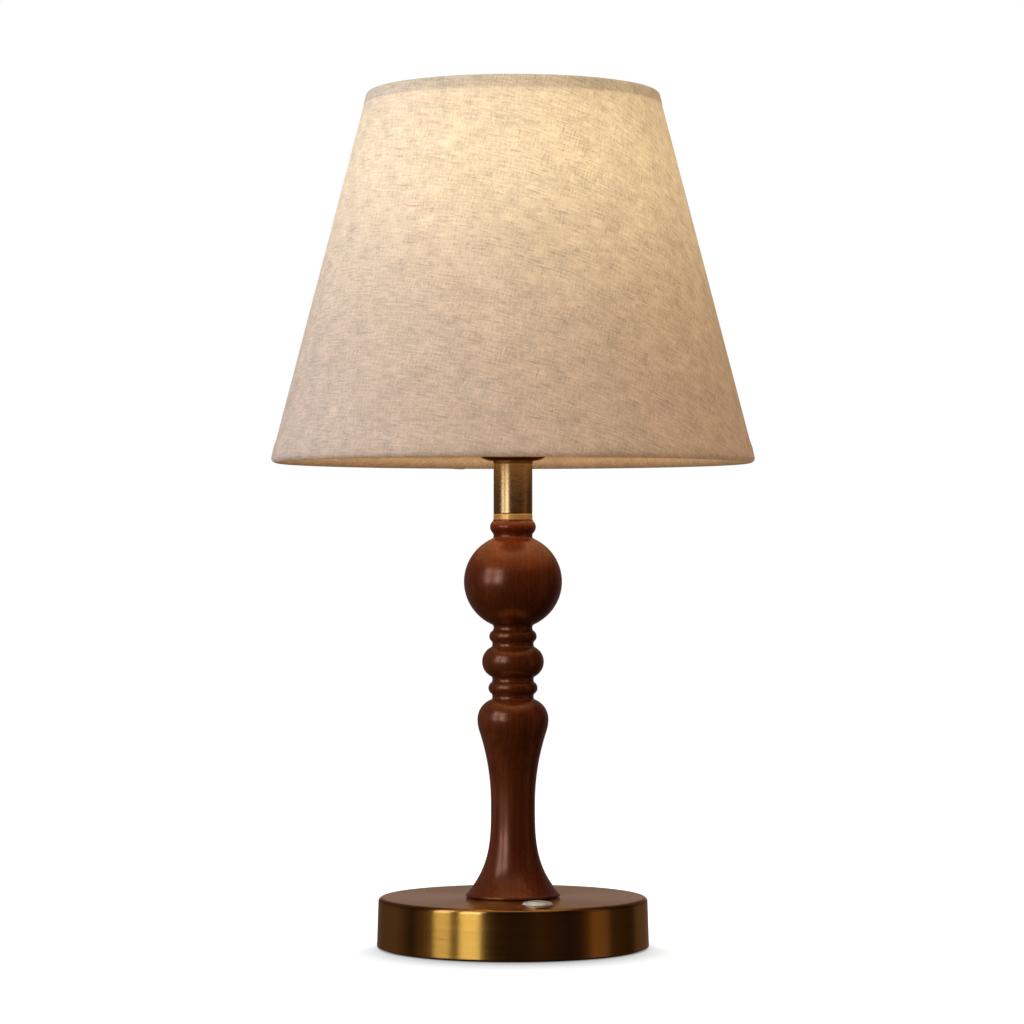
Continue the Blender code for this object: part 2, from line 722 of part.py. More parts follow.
def stem_outline():
    """The turned outline from the foot up: foot edge, flare, swell, shoulder, beads, ball and collar."""
    flare_r = FOOT_R - FOOT_EDGE_INSET
    line = bead(0.0, FOOT_EDGE_H, flare_r, FOOT_R, EDGE_STEPS)
    waist_z = FOOT_EDGE_H + FLARE_H
    for k in range(1, FLARE_STEPS):
        share = (k / FLARE_STEPS) ** FLARE_CROWDING
        out = (flare_r - WAIST_R) * (1 - share) ** FLARE_POWER
        line.append((WAIST_R + out, FOOT_EDGE_H + FLARE_H * share))
    shoulder_z = waist_z + SWELL_H
    line += ogee((WAIST_R, waist_z), (SHOULDER_R, shoulder_z), SWELL_HOLLOW_SHARE, SWELL_STEPS)
    top_angle = math.degrees(math.asin(SHOULDER_RISE / SHOULDER_ROUND_R))
    line += arc(SHOULDER_R - SHOULDER_ROUND_R, shoulder_z, SHOULDER_ROUND_R, 0, top_angle, ARC_STEPS)[1:]
    line += groove(LOW_BEAD_Z - GROOVE_H, GROOVE_H, GROOVE_R)
    line += bead(LOW_BEAD_Z, LOW_BEAD_H, GROOVE_R, LOW_BEAD_R, ARC_STEPS)
    line += groove(MID_BEAD_Z - GROOVE_H, GROOVE_H, GROOVE_R)
    line += bead(MID_BEAD_Z, MID_BEAD_H, GROOVE_R, MID_BEAD_R, ARC_STEPS + 2)
    line += groove(HIGH_BEAD_Z - GROOVE_H, GROOVE_H, GROOVE_R)
    line += bead(HIGH_BEAD_Z, HIGH_BEAD_H, NECK_GROOVE_R, HIGH_BEAD_R, ARC_STEPS)
    line += groove(BALL_Z - GROOVE_H, GROOVE_H, NECK_GROOVE_R)
    cut = math.degrees(math.asin(BALL_CUT_H / BALL_HALF_H))
    line += arc(0.0, BALL_Z + BALL_CUT_H, BALL_R, -cut, cut, BALL_STEPS, BALL_HALF_H)
    line += groove(COLLAR_Z - NECK_GROOVE_H, NECK_GROOVE_H, NECK_GROOVE_R)
    line += bead(COLLAR_Z, COLLAR_H, LAND_R, COLLAR_R, ARC_STEPS)
    return [*line, (LAND_R, STEM_H)]


def stem():
    """The wooden stem, one turned piece with a bore for the pipe."""
    outer = stem_outline()[::-1]
    section = [*outer, (PIPE_HOLE_R, 0.0), (PIPE_HOLE_R, STEM_H)]
    turned("wooden_stem", section, STEM_SIDES, WOOD, axis("stem_axis", STEM_FOOT))


def neck():
    """The ferrule on top of the stem and the tube that stands on it, round the ferrule's spigot."""
    at = axis("neck_axis", FERRULE_Z)
    spigot_r = TUBE_R - TUBE_WALL - SEAT_GAP
    outline = [
        (spigot_r, FERRULE_H + SPIGOT_H),
        (spigot_r, FERRULE_H),
        (FERRULE_R, FERRULE_H),
        (FERRULE_R, 0.0),
        (PIPE_HOLE_R, 0.0),
        (PIPE_HOLE_R, FERRULE_H + SPIGOT_H),
    ]
    turned("neck_ferrule", outline, HOLDER_SIDES, BRASS, at)
    tube_low = FERRULE_H + SEAT_GAP
    tube = ring_outline(TUBE_R - TUBE_WALL, TUBE_R, tube_low, tube_low + TUBE_L)
    turned("neck_tube", tube, HOLDER_SIDES, BRASS, at)


def holder_cap(at):
    """The dome cap: a hub on the pipe, a round dome that opens upwards and an upright rim."""
    dome_z = HUB_H + CAP_DOME_H
    rim_z = dome_z + CAP_RIM_H
    outer = arc(HUB_R, dome_z, CAP_R - HUB_R, -90, 0, ARC_STEPS, CAP_DOME_H)
    inner_r = CAP_R - HUB_R - CAP_WALL
    inner = arc(HUB_R, dome_z, inner_r, 0, -90, ARC_STEPS, CAP_DOME_H - CAP_WALL)[:-1]
    floor_z = HUB_H + CAP_WALL
    section = [
        (CAP_R, rim_z),
        *outer[::-1],
        (HUB_R, 0.0),
        (PIPE_HOLE_R, 0.0),
        (PIPE_HOLE_R, HUB_H + HUB_COLLAR_H),
        (HUB_COLLAR_R, HUB_H + HUB_COLLAR_H),
        (HUB_COLLAR_R, floor_z),
        *inner[::-1],
        (CAP_R - CAP_WALL, rim_z),
    ]
    turned("holder_cap", section, HOLDER_SIDES, BRASS, at)


def holder_skirt(at):
    """The skirt: a tongue inside the cap, a flange for the shade and a lip round the mouth."""
    tongue_r = CAP_R - CAP_WALL - SEAT_GAP
    lip_r = SKIRT_BORE_R - SKIRT_LIP
    section = [
        (SKIRT_R - SKIRT_LIP, SKIRT_H),
        (SKIRT_R, SKIRT_H - SKIRT_LIP),
        (SKIRT_R, FLANGE_Z),
        (FLANGE_R, FLANGE_Z),
        (FLANGE_R, FLANGE_Z - FLANGE_T),
        (SKIRT_R, FLANGE_Z - FLANGE_T),
        (SKIRT_R, 0.0),
        (tongue_r, 0.0),
        (tongue_r, -SKIRT_TONGUE_H),
        (SKIRT_BORE_R, -SKIRT_TONGUE_H),
        (SKIRT_BORE_R, SKIRT_H - 2 * SKIRT_LIP),
        (lip_r, SKIRT_H - SKIRT_LIP),
        (lip_r, SKIRT_H),
    ]
    turned("holder_skirt", section, HOLDER_SIDES, BLACK_PLASTIC, at)


def holder_insert(at):
    """The porcelain cup with its two push-in terminal holes, its screw shell and its middle contact."""
    low = INSERT_Z - SKIRT_Z
    floor = low + INSERT_FLOOR_T
    high = low + INSERT_H
    section = [
        (0.0, floor),
        (INSERT_BORE_R, floor),
        (INSERT_BORE_R, high),
        (INSERT_R, high),
        (INSERT_R, low),
        (0.0, low),
    ]
    cup = turned("holder_insert", section, HOLDER_SIDES, PORCELAIN, at, closed=False)
    depth = TERMINAL_DEPTH + CUT_OVERRUN
    for side in (-1, 1):
        centre = (side * TERMINAL_X, 0.0, SKIRT_Z + low - CUT_OVERRUN + depth / 2)
        hole = cylinder(f"terminal_hole_{side}", LEAD_R + SEAT_GAP, depth, centre, SMALL_SIDES)
        joined(cup, placed(hole, None, helper=True), "DIFFERENCE")
    shell_low = floor + SEAT_GAP
    shell = ring_outline(SHELL_R - SHELL_WALL, SHELL_R, shell_low, shell_low + SHELL_L)
    turned("screw_shell", shell, HOLDER_SIDES, BRASS, at)
    rise = TONGUE_RISE
    strip = [
        (-TONGUE_REACH, 0.0),
        (-TONGUE_FOLD, 0.0),
        (0.0, rise),
        (TONGUE_END, rise),
        (TONGUE_END, rise + TONGUE_T),
        (-TONGUE_T / 2, rise + TONGUE_T),
        (-TONGUE_FOLD - TONGUE_T / 2, TONGUE_T),
        (-TONGUE_REACH, TONGUE_T),
    ]
    upright = (math.radians(90), 0.0, 0.0)
    tongue = plate("contact_tongue", [strip], TONGUE_W, BRASS, at, 0.0, upright)
    tongue.location = (0.0, 0.0, floor + SEAT_GAP)


def ring_nut():
    """The scalloped ring nut that clamps the shade's carrier ring on the flange."""
    edge = []
    steps = RING_NUT_SCALLOPS * 4
    for k in range(steps):
        angle = 2 * math.pi * k / steps
        radius = RING_NUT_R - RING_NUT_SCALLOP * (1 - math.cos(RING_NUT_SCALLOPS * angle)) / 2
        edge.append((radius * math.cos(angle), radius * math.sin(angle)))
    hole = circle(SKIRT_R + SEAT_GAP, HOLDER_SIDES)
    plate("shade_ring_nut", [edge, hole], RING_NUT_T, BLACK_PLASTIC, axis("ring_nut_axis", RING_NUT_Z), 0.0)


def bulb():
    """The bulb: contact tip, insulator, screw cap, body, light board and frosted globe."""
    at = axis("bulb_axis", BULB_Z)
    tip = [(0.0, BULB_TIP_T), (BULB_TIP_R, BULB_TIP_T), (BULB_TIP_R / 2, 0.0), (0.0, 0.0)]
    turned("bulb_contact", tip, SMALL_SIDES, STEEL, at, closed=False)
    low = BULB_TIP_T + SEAT_GAP
    cone = [(0.0, low + INSULATOR_H), (INSULATOR_R, low + INSULATOR_H), (BULB_TIP_R, low), (0.0, low)]
    turned("bulb_insulator", cone, SMALL_SIDES, BLACK_PLASTIC, at, closed=False)
    low += INSULATOR_H + SEAT_GAP
    high = low + BULB_CAP_L
    toe_r = BULB_CAP_R - BULB_CAP_TOE
    cap = [(0.0, high), (BULB_CAP_R, high), (BULB_CAP_R, low + BULB_CAP_TOE), (toe_r, low), (0.0, low)]
    turned("bulb_cap", cap, HOLDER_SIDES, STEEL, at, closed=False)
    low = high + SEAT_GAP
    high = low + BULB_BODY_H
    body = ogee((BULB_BODY_FOOT_R, low), (BULB_SHOULDER_R, high), BULB_HOLLOW_SHARE, BODY_STEPS)
    turned("bulb_body", [(0.0, high), *body[::-1], (0.0, low)], BULB_SIDES, WHITE_PLASTIC, at, closed=False)
    low = high + SEAT_GAP
    turned(
        "bulb_light_board",
        [(0.0, low + LED_BOARD_T), (LED_BOARD_R, low + LED_BOARD_T), (LED_BOARD_R, low), (0.0, low)],
        BULB_SIDES,
        LED_BOARD,
        at,
        closed=False,
    )
    sink = math.sqrt(BULB_GLOBE_R ** 2 - BULB_SHOULDER_R ** 2)
    centre = low + sink
    start = -math.degrees(math.asin(sink / BULB_GLOBE_R))
    outer = arc(0.0, centre, BULB_GLOBE_R, 90, start, GLOBE_STEPS)
    inside = arc(0.0, centre, BULB_GLOBE_R - BULB_GLOBE_WALL, start, 90, GLOBE_STEPS - 2)
    globe = [(0.0, outer[0][1]), *outer[1:], *inside[:-1], (0.0, inside[-1][1])]
    turned("bulb_globe", globe, BULB_SIDES, GLOBE, at, closed=False)


def hem_centre(top):
    """Where the wire in a hem lies, as (radius, height): tangent inside the linen and level with the rim."""
    slope = (SHADE_R - SHADE_TOP_R) / SHADE_H
    outer = HEM_R + LINEN_T / 2
    height = SHADE_H - outer if top else outer
    return SHADE_R - height * slope - outer * SHADE_SLANT / SHADE_H, height


def inside_line(depth, up):
    """A point that lies depth under the shade's outer face, at height up measured along the axis."""
    slope = (SHADE_R - SHADE_TOP_R) / SHADE_H
    return SHADE_R - up * slope - depth * SHADE_SLANT / SHADE_H, up


def shade_cover(at, arms):
    """The linen: one skin, folded at both hems round the shade wires and notched where an arm passes."""
    lean = math.degrees(math.atan2(SHADE_R - SHADE_TOP_R, SHADE_H))
    (top_r, top_z), (low_r, low_z) = hem_centre(True), hem_centre(False)
    flap = LINEN_T + SEAT_GAP + LINER_T + SEAT_GAP + LINEN_T / 2
    line = [
        inside_line(flap, SHADE_H - HEM_H),
        inside_line(flap, SHADE_H - HEM_ROLL_H),
        *arc(top_r, top_z, HEM_R, lean + 180 + HEM_WRAP_DEGREES, lean, HEM_STEPS),
        *arc(low_r, low_z, HEM_R, lean, lean - 180 - HEM_WRAP_DEGREES, HEM_STEPS),
        inside_line(flap, HEM_ROLL_H),
        inside_line(flap, HEM_H),
    ]
    cover = turned("shade_cover", line, SHADE_SIDES, LINEN, at, closed=False)
    thickened(cover, LINEN_T, 0.0)
    for arm in arms:
        joined(cover, arm, "DIFFERENCE")


def shade_liner(at):
    """The stiff white liner that the linen is bonded to, between the two wires."""
    depth = LINEN_T + SEAT_GAP + LINER_T / 2
    ends = (SHADE_H - HEM_ROLL_H, HEM_ROLL_H)
    line = [inside_line(depth, end) for end in ends]
    thickened(turned("shade_liner", line, SHADE_SIDES, LINER, at, closed=False), LINER_T, 0.0)


def wire_ring(name, centre, material, parent):
    """A ring of shade wire, as a torus."""
    bpy.ops.mesh.primitive_torus_add(
        major_radius=centre[0],
        minor_radius=SHADE_WIRE_R,
        major_segments=SHADE_SIDES,
        minor_segments=WIRE_SIDES,
        location=(0.0, 0.0, centre[1]),
    )
    obj = bpy.context.active_object
    obj.name = name
    return placed(obj, material, parent)


def arm_route(angle, end):
    """One arm, from the carrier's edge to the lower wire: level first, and steeper towards the rim."""
    start_r = CARRIER_R + SEAT_GAP
    start_z = SHADE_RISE + CARRIER_T / 2
    reach, fall = end[0] - start_r, start_z - end[1]
    back_off = (SHADE_WIRE_R + SEAT_GAP) / math.hypot(reach, fall * ARM_BEND_POWER)
    found = []
    for k in range(ARM_STEPS + 1):
        share = (1 - back_off) * k / ARM_STEPS
        radius = start_r + reach * share
        height = start_z - fall * share ** ARM_BEND_POWER
        found.append((radius * math.cos(angle), radius * math.sin(angle), height))
    return found


def shade():
    """The shade, whose empty is level with its lower rim: welded wire frame, liner and cover."""
    at = axis("shade_axis", SHADE_Z)
    end = hem_centre(False)
    wire_ring("shade_lower_wire", end, STEEL, at)
    wire_ring("shade_top_wire", hem_centre(True), STEEL, at)
    carrier = ring_outline(SKIRT_R + SEAT_GAP, CARRIER_R, SHADE_RISE, SHADE_RISE + CARRIER_T)
    turned("shade_carrier", carrier, HOLDER_SIDES, STEEL, at)
    room = []
    for k, (_, _, angle) in enumerate(around(CARRIER_R, ARM_COUNT, ARM_FIRST_DEGREES)):
        path = arm_route(angle, end)
        wire(f"shade_arm_{k + 1}", path, ARM_R, WIRE_ROUNDNESS, STEEL, at)
        space = wire("arm_room", path, ARM_R + ARM_ROOM, WIRE_ROUNDNESS, parent=at, helper=True)
        room.append(as_mesh(space))
    shade_liner(at)
    shade_cover(at, room)


def leads(tab_low):
    """The two insulated leads up the pipe: one from the switch and one from a crimp joint."""
    tab_y = -SWITCH_Y + TAB_W / 2 + SEAT_GAP
    tab_z = tab_low + LEAD_R
    low_z = PLATE_TOP + LEAD_LIFT
    pipe_top = CAP_Z + HUB_H + HUB_COLLAR_H
    at_nut = [
        (LEAD_X, -2 * PIPE_R, low_z),
        (LEAD_X, -PIPE_BORE_R, low_z),
        (LEAD_X, -LEAD_R, (low_z + PIPE_FOOT) / 2),
        (LEAD_X, 0.0, PIPE_FOOT + PIPE_R),
    ]
    at_socket = [
        (LEAD_X, 0.0, pipe_top - PIPE_R),
        (LEAD_X, 0.0, pipe_top - LEAD_R),
        ((LEAD_X + TERMINAL_X) / 2, 0.0, (pipe_top + INSERT_Z) / 2),
        (TERMINAL_X, 0.0, INSERT_Z),
        (TERMINAL_X, 0.0, INSERT_Z + TERMINAL_DEPTH - LEAD_R),
    ]
    way = [(TAB_X, -SWITCH_Y * share, low_z) for share in LEAD_WAY_SHARES]
    from_tab = [(TAB_X, tab_y, tab_z), *way]
    path = smooth_route([*from_tab, *at_nut], ROUTE_STEPS) + smooth_route(at_socket, ROUTE_STEPS)
    wire("lead_from_switch", path, LEAD_R, WIRE_ROUNDNESS, LEAD_BROWN)
    crimp_z = low_z + CRIMP_R - LEAD_R
    mouth_y = CRIMP_Y - SEAT_GAP
    from_crimp = [(LEAD_X, -mouth_y, crimp_z), (LEAD_X, CRIMP_R - mouth_y, crimp_z)]
    path = smooth_route([*from_crimp, *at_nut], ROUTE_STEPS) + smooth_route(at_socket, ROUTE_STEPS)
    path = [(-x, -y, z) for x, y, z in path]
    wire("lead_from_joint", path, LEAD_R, WIRE_ROUNDNESS, LEAD_BLUE)
    outline = [
        (0.0, CRIMP_L),
        (CRIMP_R - CRIMP_EDGE, CRIMP_L),
        (CRIMP_R, CRIMP_L - CRIMP_EDGE),
        (CRIMP_R, 0.0),
        (CRIMP_R - CRIMP_EDGE, 0.0),
        (CRIMP_R - CRIMP_EDGE, CRIMP_MOUTH),
        (0.0, CRIMP_MOUTH),
    ]
    cap = turned("crimp_joint", outline, SMALL_SIDES, WHITE_PLASTIC, closed=False)
    cap.rotation_euler = (math.radians(-90), 0.0, 0.0)
    cap.location = (-LEAD_X, CRIMP_Y - CRIMP_MOUTH, crimp_z)


def lamp():
    """Builds the whole lamp from the table up."""
    base_shell()
    base_weight()
    bottom_pieces()
    grommet()
    tab_low = switch()
    pipe_and_nut()
    stem()
    neck()
    holder_cap(axis("cap_axis", CAP_Z))
    skirt_axis = axis("skirt_axis", SKIRT_Z)
    holder_skirt(skirt_axis)
    holder_insert(skirt_axis)
    ring_nut()
    bulb()
    shade()
    leads(tab_low)


lamp()
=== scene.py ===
# %% [markdown]
# A table lamp, dressed for its picture
#
# The imported model gives a fixed frame: a brass base, a turned wooden stem, a short brass neck and a linen
# shade round a bulb. This lesson gives each of those pieces the surface that the real one has. Most of them
# were turned on a lathe, spun over a form or rolled into a cone, so most of them can be one outline that is
# carried round an axis. The frame is loaded first, because many sizes below are read from it.

# %% Load the frame
import math

import bmesh
import bpy
import numpy as np
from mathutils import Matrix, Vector


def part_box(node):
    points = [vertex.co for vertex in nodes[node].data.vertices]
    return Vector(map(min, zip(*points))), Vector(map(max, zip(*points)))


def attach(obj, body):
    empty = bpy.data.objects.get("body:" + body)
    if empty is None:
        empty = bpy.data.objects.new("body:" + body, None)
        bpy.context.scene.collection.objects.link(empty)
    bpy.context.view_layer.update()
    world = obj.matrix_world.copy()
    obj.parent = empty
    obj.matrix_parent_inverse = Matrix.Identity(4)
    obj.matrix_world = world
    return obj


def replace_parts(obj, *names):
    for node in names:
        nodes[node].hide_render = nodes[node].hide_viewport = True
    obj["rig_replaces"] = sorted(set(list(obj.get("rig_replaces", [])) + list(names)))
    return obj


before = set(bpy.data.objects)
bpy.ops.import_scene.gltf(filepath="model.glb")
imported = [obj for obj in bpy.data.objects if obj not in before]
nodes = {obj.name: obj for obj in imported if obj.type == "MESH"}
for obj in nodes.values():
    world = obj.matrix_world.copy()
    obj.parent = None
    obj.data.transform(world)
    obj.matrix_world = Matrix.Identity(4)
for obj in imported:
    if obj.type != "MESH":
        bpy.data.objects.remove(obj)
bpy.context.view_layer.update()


def mm(length):
    """A length in millimetres, for the printed lines."""
    return round(float(length) * 1000, 1)


scene = bpy.context.scene

# %% [markdown]
# The camera stands where the photographer's did. The rims of the shade and of the base are seen as narrow
# ellipses, and how narrow they are gives the camera's height; how much they grow towards the camera gives its
# distance. A long lens from under two metres fits both. The push button, which is on the base's front, shows
# to the right of the axis, so the camera stands a little to the left of the front.

# %% Camera
CAMERA_DISTANCE = 1.813
CAMERA_HEIGHT = 0.2021
CAMERA_ASIDE = 0.0005
CAMERA_AZIMUTH = math.radians(-12.45)
CAMERA_PITCH = math.radians(0.692)
SENSOR = 0.036
LENS = 0.12365
MM_PER_METRE = 1000.0

towards_camera = np.array([math.sin(CAMERA_AZIMUTH), -math.cos(CAMERA_AZIMUTH), 0.0])
image_right = np.array([math.cos(CAMERA_AZIMUTH), math.sin(CAMERA_AZIMUTH), 0.0])
eye = bpy.data.cameras.new("camera")
eye.sensor_width = SENSOR * MM_PER_METRE
eye.lens = LENS * MM_PER_METRE
camera = bpy.data.objects.new("camera", eye)
scene.collection.objects.link(camera)
camera.location = towards_camera * CAMERA_DISTANCE - image_right * CAMERA_ASIDE + (0.0, 0.0, CAMERA_HEIGHT)
camera.rotation_euler = (math.pi / 2 + CAMERA_PITCH, 0.0, CAMERA_AZIMUTH)
scene.camera = camera
scene.view_settings.view_transform = "Standard"
print("camera at", [round(c, 3) for c in camera.location], "lens in mm", round(eye.lens, 1))

# %% [markdown]
# Materials are wired up from nodes, and the same few steps come back in each of them: add a node, set some of
# its sockets, join others. One small helper does this, so that a material below reads as a list of what it
# does. A socket is given a plain value, a colour, or another node's output.

# %% Helpers for node trees
class Wiring:
    """Adds nodes to one tree. A socket is named by its label or its number, and takes a value or an output."""

    def __init__(self, tree):
        self.tree = tree

    def add(self, kind, sockets=None, **settings):
        """One node with its settings, and its sockets set or joined."""
        node = self.tree.nodes.new(kind)
        for key, value in settings.items():
            setattr(node, key, value)
        for key, value in (sockets or {}).items():
            self.join(value, node.inputs[key])
        return node

    def join(self, value, socket):
        """Joins an output to a socket, or writes a plain value into it."""
        if isinstance(value, bpy.types.NodeSocket):
            self.tree.links.new(value, socket)
        elif isinstance(value, tuple) and len(value) == 3 and socket.type == "RGBA":
            socket.default_value = (*value, 1.0)
        else:
            socket.default_value = value

    def math(self, operation, a, b=0.0, c=0.0):
        """A Math node's value."""
        return self.add("ShaderNodeMath", {0: a, 1: b, 2: c}, operation=operation).outputs[0]

    def times(self, a, b):
        """The product of two values."""
        return self.math("MULTIPLY", a, b)

    def vector(self, operation, a, b=(0.0, 0.0, 0.0), scale=1.0):
        """A Vector Math node's vector, or its value for a length or a dot product."""
        node = self.add("ShaderNodeVectorMath", {0: a, 1: b, 3: scale}, operation=operation)
        return node.outputs[1 if operation in ("LENGTH", "DOT_PRODUCT") else 0]

    def split(self, place):
        """The X, Y and Z of a place."""
        return self.add("ShaderNodeSeparateXYZ", {0: place}).outputs

    def from_axis(self, place):
        """A place's distance from the upright axis: the length of (X, Y)."""
        parts = self.split(place)
        return self.vector("LENGTH", self.add("ShaderNodeCombineXYZ", {0: parts["X"], 1: parts["Y"]}).outputs[0])

    def mix(self, share, a, b):
        """A colour between a and b."""
        return self.add("ShaderNodeMix", {0: share, 6: a, 7: b}, data_type="RGBA").outputs[2]

    def remap(self, value, low, high, to_low=0.0, to_high=1.0, smooth=False):
        """Value from the range low..high into to_low..to_high, held inside it."""
        sockets = {0: value, 1: low, 2: high, 3: to_low, 4: to_high}
        kind = "SMOOTHSTEP" if smooth else "LINEAR"
        return self.add("ShaderNodeMapRange", sockets, interpolation_type=kind).outputs[0]

    def noise(self, place, scale, detail=2.0, roughness=0.5):
        """Noise's value at a place."""
        sockets = {"Vector": place, "Scale": scale, "Detail": detail, "Roughness": roughness}
        return self.add("ShaderNodeTexNoise", sockets).outputs[0]

    def stretched(self, place, scale, turn=(0.0, 0.0, 0.0), shift=(0.0, 0.0, 0.0)):
        """A place moved, turned and scaled, for a pattern with its own grain."""
        sockets = {"Vector": place, "Location": shift, "Rotation": turn, "Scale": scale}
        return self.add("ShaderNodeMapping", sockets).outputs[0]

    def ramp(self, value, stops):
        """A colour ramp through (position, colour) stops."""
        node = self.add("ShaderNodeValToRGB", {0: value})
        band = node.color_ramp
        while len(band.elements) < len(stops):
            band.elements.new(1.0)
        for element, (position, colour) in zip(band.elements, stops):
            element.position = position
            element.color = (*colour, 1.0)
        return node.outputs[0]


def new_group(name, inputs, outputs):
    """An empty shader node group with named sockets, each given as (name, kind, default)."""
    tree = bpy.data.node_groups.new(name, "ShaderNodeTree")
    for title, kind, default in inputs:
        socket = tree.interface.new_socket(title, in_out="INPUT", socket_type="NodeSocket" + kind)
        if default is not None:
            socket.default_value = default
    for title, kind in outputs:
        tree.interface.new_socket(title, in_out="OUTPUT", socket_type="NodeSocket" + kind)
    wiring = Wiring(tree)
    return wiring, wiring.add("NodeGroupInput").outputs, wiring.add("NodeGroupOutput").inputs


def new_material(name, **plain):
    """A Principled material with plain socket values; underscores in a name stand for spaces."""
    made = bpy.data.materials.new(name)
    made.use_nodes = True
    shader = made.node_tree.nodes["Principled BSDF"]
    wiring = Wiring(made.node_tree)
    for key, value in plain.items():
        wiring.join(value, shader.inputs[key.replace("_", " ")])
    return made, wiring, shader.inputs


def use_group(wiring, group, sockets):
    """Places a node group in a material, with its own values, and returns its outputs."""
    node = wiring.add("ShaderNodeGroup", node_tree=group.tree)
    for key, value in sockets.items():
        wiring.join(value, node.inputs[key])
    return node.outputs


def object_place(wiring):
    """The point's place in the object, which is its place in the lamp, because every object is at the origin."""
    return wiring.add("ShaderNodeTexCoord").outputs["Object"]


def bump(wiring, height, distance, strength=1.0):
    """A Bump node's normal."""
    return wiring.add("ShaderNodeBump", {"Height": height, "Distance": distance, "Strength": strength}).outputs[0]


print("node helpers ready")

# %% [markdown]
# The room is what polished metal and varnish show, so it is built from the photograph's reflections. The
# bands on the base's side say where the lights were: a tall window of four panes at the left, and a dim strip
# far to the right. The front of the room is dark, it gets darker towards the ground, and the white backdrop is
# only behind the lamp. Glossy rays see this room. Camera and transmitted rays see plain white, and all others
# get a soft light that comes mostly from the upper left. ROOM lists azimuths, in degrees to the right of the
# camera, each with the room's colour there.

# %% World
SOFT_DARK = 0.012
SOFT_BRIGHT = 0.225
SOFT_TINT = (0.90, 1.05, 0.97)
SOFT_AZIMUTH = math.radians(-60.0)
SOFT_ELEVATION = math.radians(50.0)
BACKDROP = (1.0, 1.0, 1.0)
BACKDROP_HALF_WIDTH = 0.10
BACKDROP_EDGE = 0.06
BACKDROP_LOW = 0.04
BACKDROP_HIGH = 0.08
ROOM_FLOOR = -0.60
ROOM_SKIRT = -0.20
ROOM_UNDER = 0.25
ROOM = [
    (-180, 0.275, 0.174, 0.131), (-165, 0.142, 0.098, 0.086), (-146, 0.095, 0.066, 0.063),
    (-117, 0.088, 0.058, 0.061), (-109, 0.061, 0.039, 0.041), (-101, 0.040, 0.025, 0.027),
    (-95, 0.016, 0.009, 0.009), (-91, 0.043, 0.026, 0.026), (-86, 0.059, 0.034, 0.032),
    (-76, 0.100, 0.063, 0.045), (-70, 0.136, 0.091, 0.063), (-50, 0.094, 0.059, 0.037),
    (-26, 0.047, 0.028, 0.015), (-20, 0.024, 0.011, 0.008), (-8, 0.015, 0.007, 0.011),
    (12, 0.015, 0.007, 0.010), (18, 0.031, 0.015, 0.014), (32, 0.025, 0.012, 0.014),
    (48, 0.014, 0.007, 0.010), (58, 0.021, 0.010, 0.010), (66, 0.056, 0.025, 0.024),
    (72, 0.162, 0.090, 0.050), (84, 0.153, 0.086, 0.054), (89, 0.102, 0.056, 0.038),
    (92, 0.040, 0.021, 0.015), (118, 0.026, 0.015, 0.014), (123, 0.031, 0.019, 0.023),
    (129, 0.095, 0.061, 0.061), (150, 0.134, 0.090, 0.085), (180, 0.249, 0.156, 0.110),
]


def direction(azimuth, elevation):
    """The direction from the lamp at an azimuth to the right of the camera and an elevation."""
    flat = towards_camera * math.cos(azimuth) + image_right * math.sin(azimuth)
    return flat * math.cos(elevation) + (0.0, 0.0, math.sin(elevation))


sky = bpy.data.worlds.new("studio")
scene.world = sky
sky.use_nodes = True
w = Wiring(sky.node_tree)
look = w.add("ShaderNodeTexCoord").outputs["Generated"]
ahead = w.vector("DOT_PRODUCT", look, tuple(towards_camera))
aside = w.vector("DOT_PRODUCT", look, tuple(image_right))
turn_share = w.remap(w.math("ARCTAN2", aside, ahead), -math.pi, math.pi)
room = w.ramp(turn_share, [((a + 180) / 360, tuple(colour)) for a, *colour in ROOM])
behind = w.remap(w.math("ABSOLUTE", w.math("ARCTAN2", aside, w.times(ahead, -1.0))),
                 BACKDROP_HALF_WIDTH, BACKDROP_HALF_WIDTH + BACKDROP_EDGE, 1.0, 0.0, smooth=True)
up = w.split(look)["Z"]
low_part = w.remap(w.math("ABSOLUTE", up), BACKDROP_LOW, BACKDROP_HIGH, 1.0, 0.0, smooth=True)
room = w.vector("SCALE", room, scale=w.remap(up, ROOM_FLOOR, ROOM_SKIRT, ROOM_UNDER, 1.0, smooth=True))
room = w.mix(w.times(behind, low_part), room, BACKDROP)
rays = w.add("ShaderNodeLightPath").outputs
seen = w.math("MAXIMUM", rays["Is Camera Ray"], rays["Is Transmission Ray"])
soft_from = w.vector("DOT_PRODUCT", look, tuple(direction(SOFT_AZIMUTH, SOFT_ELEVATION)))
soft = w.remap(soft_from, -1.0, 1.0, SOFT_DARK, SOFT_BRIGHT)
colour = w.mix(rays["Is Glossy Ray"], w.vector("SCALE", SOFT_TINT, scale=soft), room)
colour = w.mix(seen, colour, BACKDROP)
w.join(colour, sky.node_tree.nodes["Background"].inputs["Color"])
print("room ramp stops", len(ROOM), "soft light from", SOFT_DARK, "to", SOFT_BRIGHT)

# %% [markdown]
# Each window pane is an area light that faces the lamp. Its place is given by the angles at which the lamp
# sees it, because that is what a reflection shows. Panes are brighter than the room, so they light the shade
# from the left as well. Large dim lights from both sides and from above soften that, and the two at the sides
# show in no reflection. A small warm disc stands for the bulb's light that leaves the shade at its lower end.
# All of them keep to a plain level, at which a pale cloth stays below white.

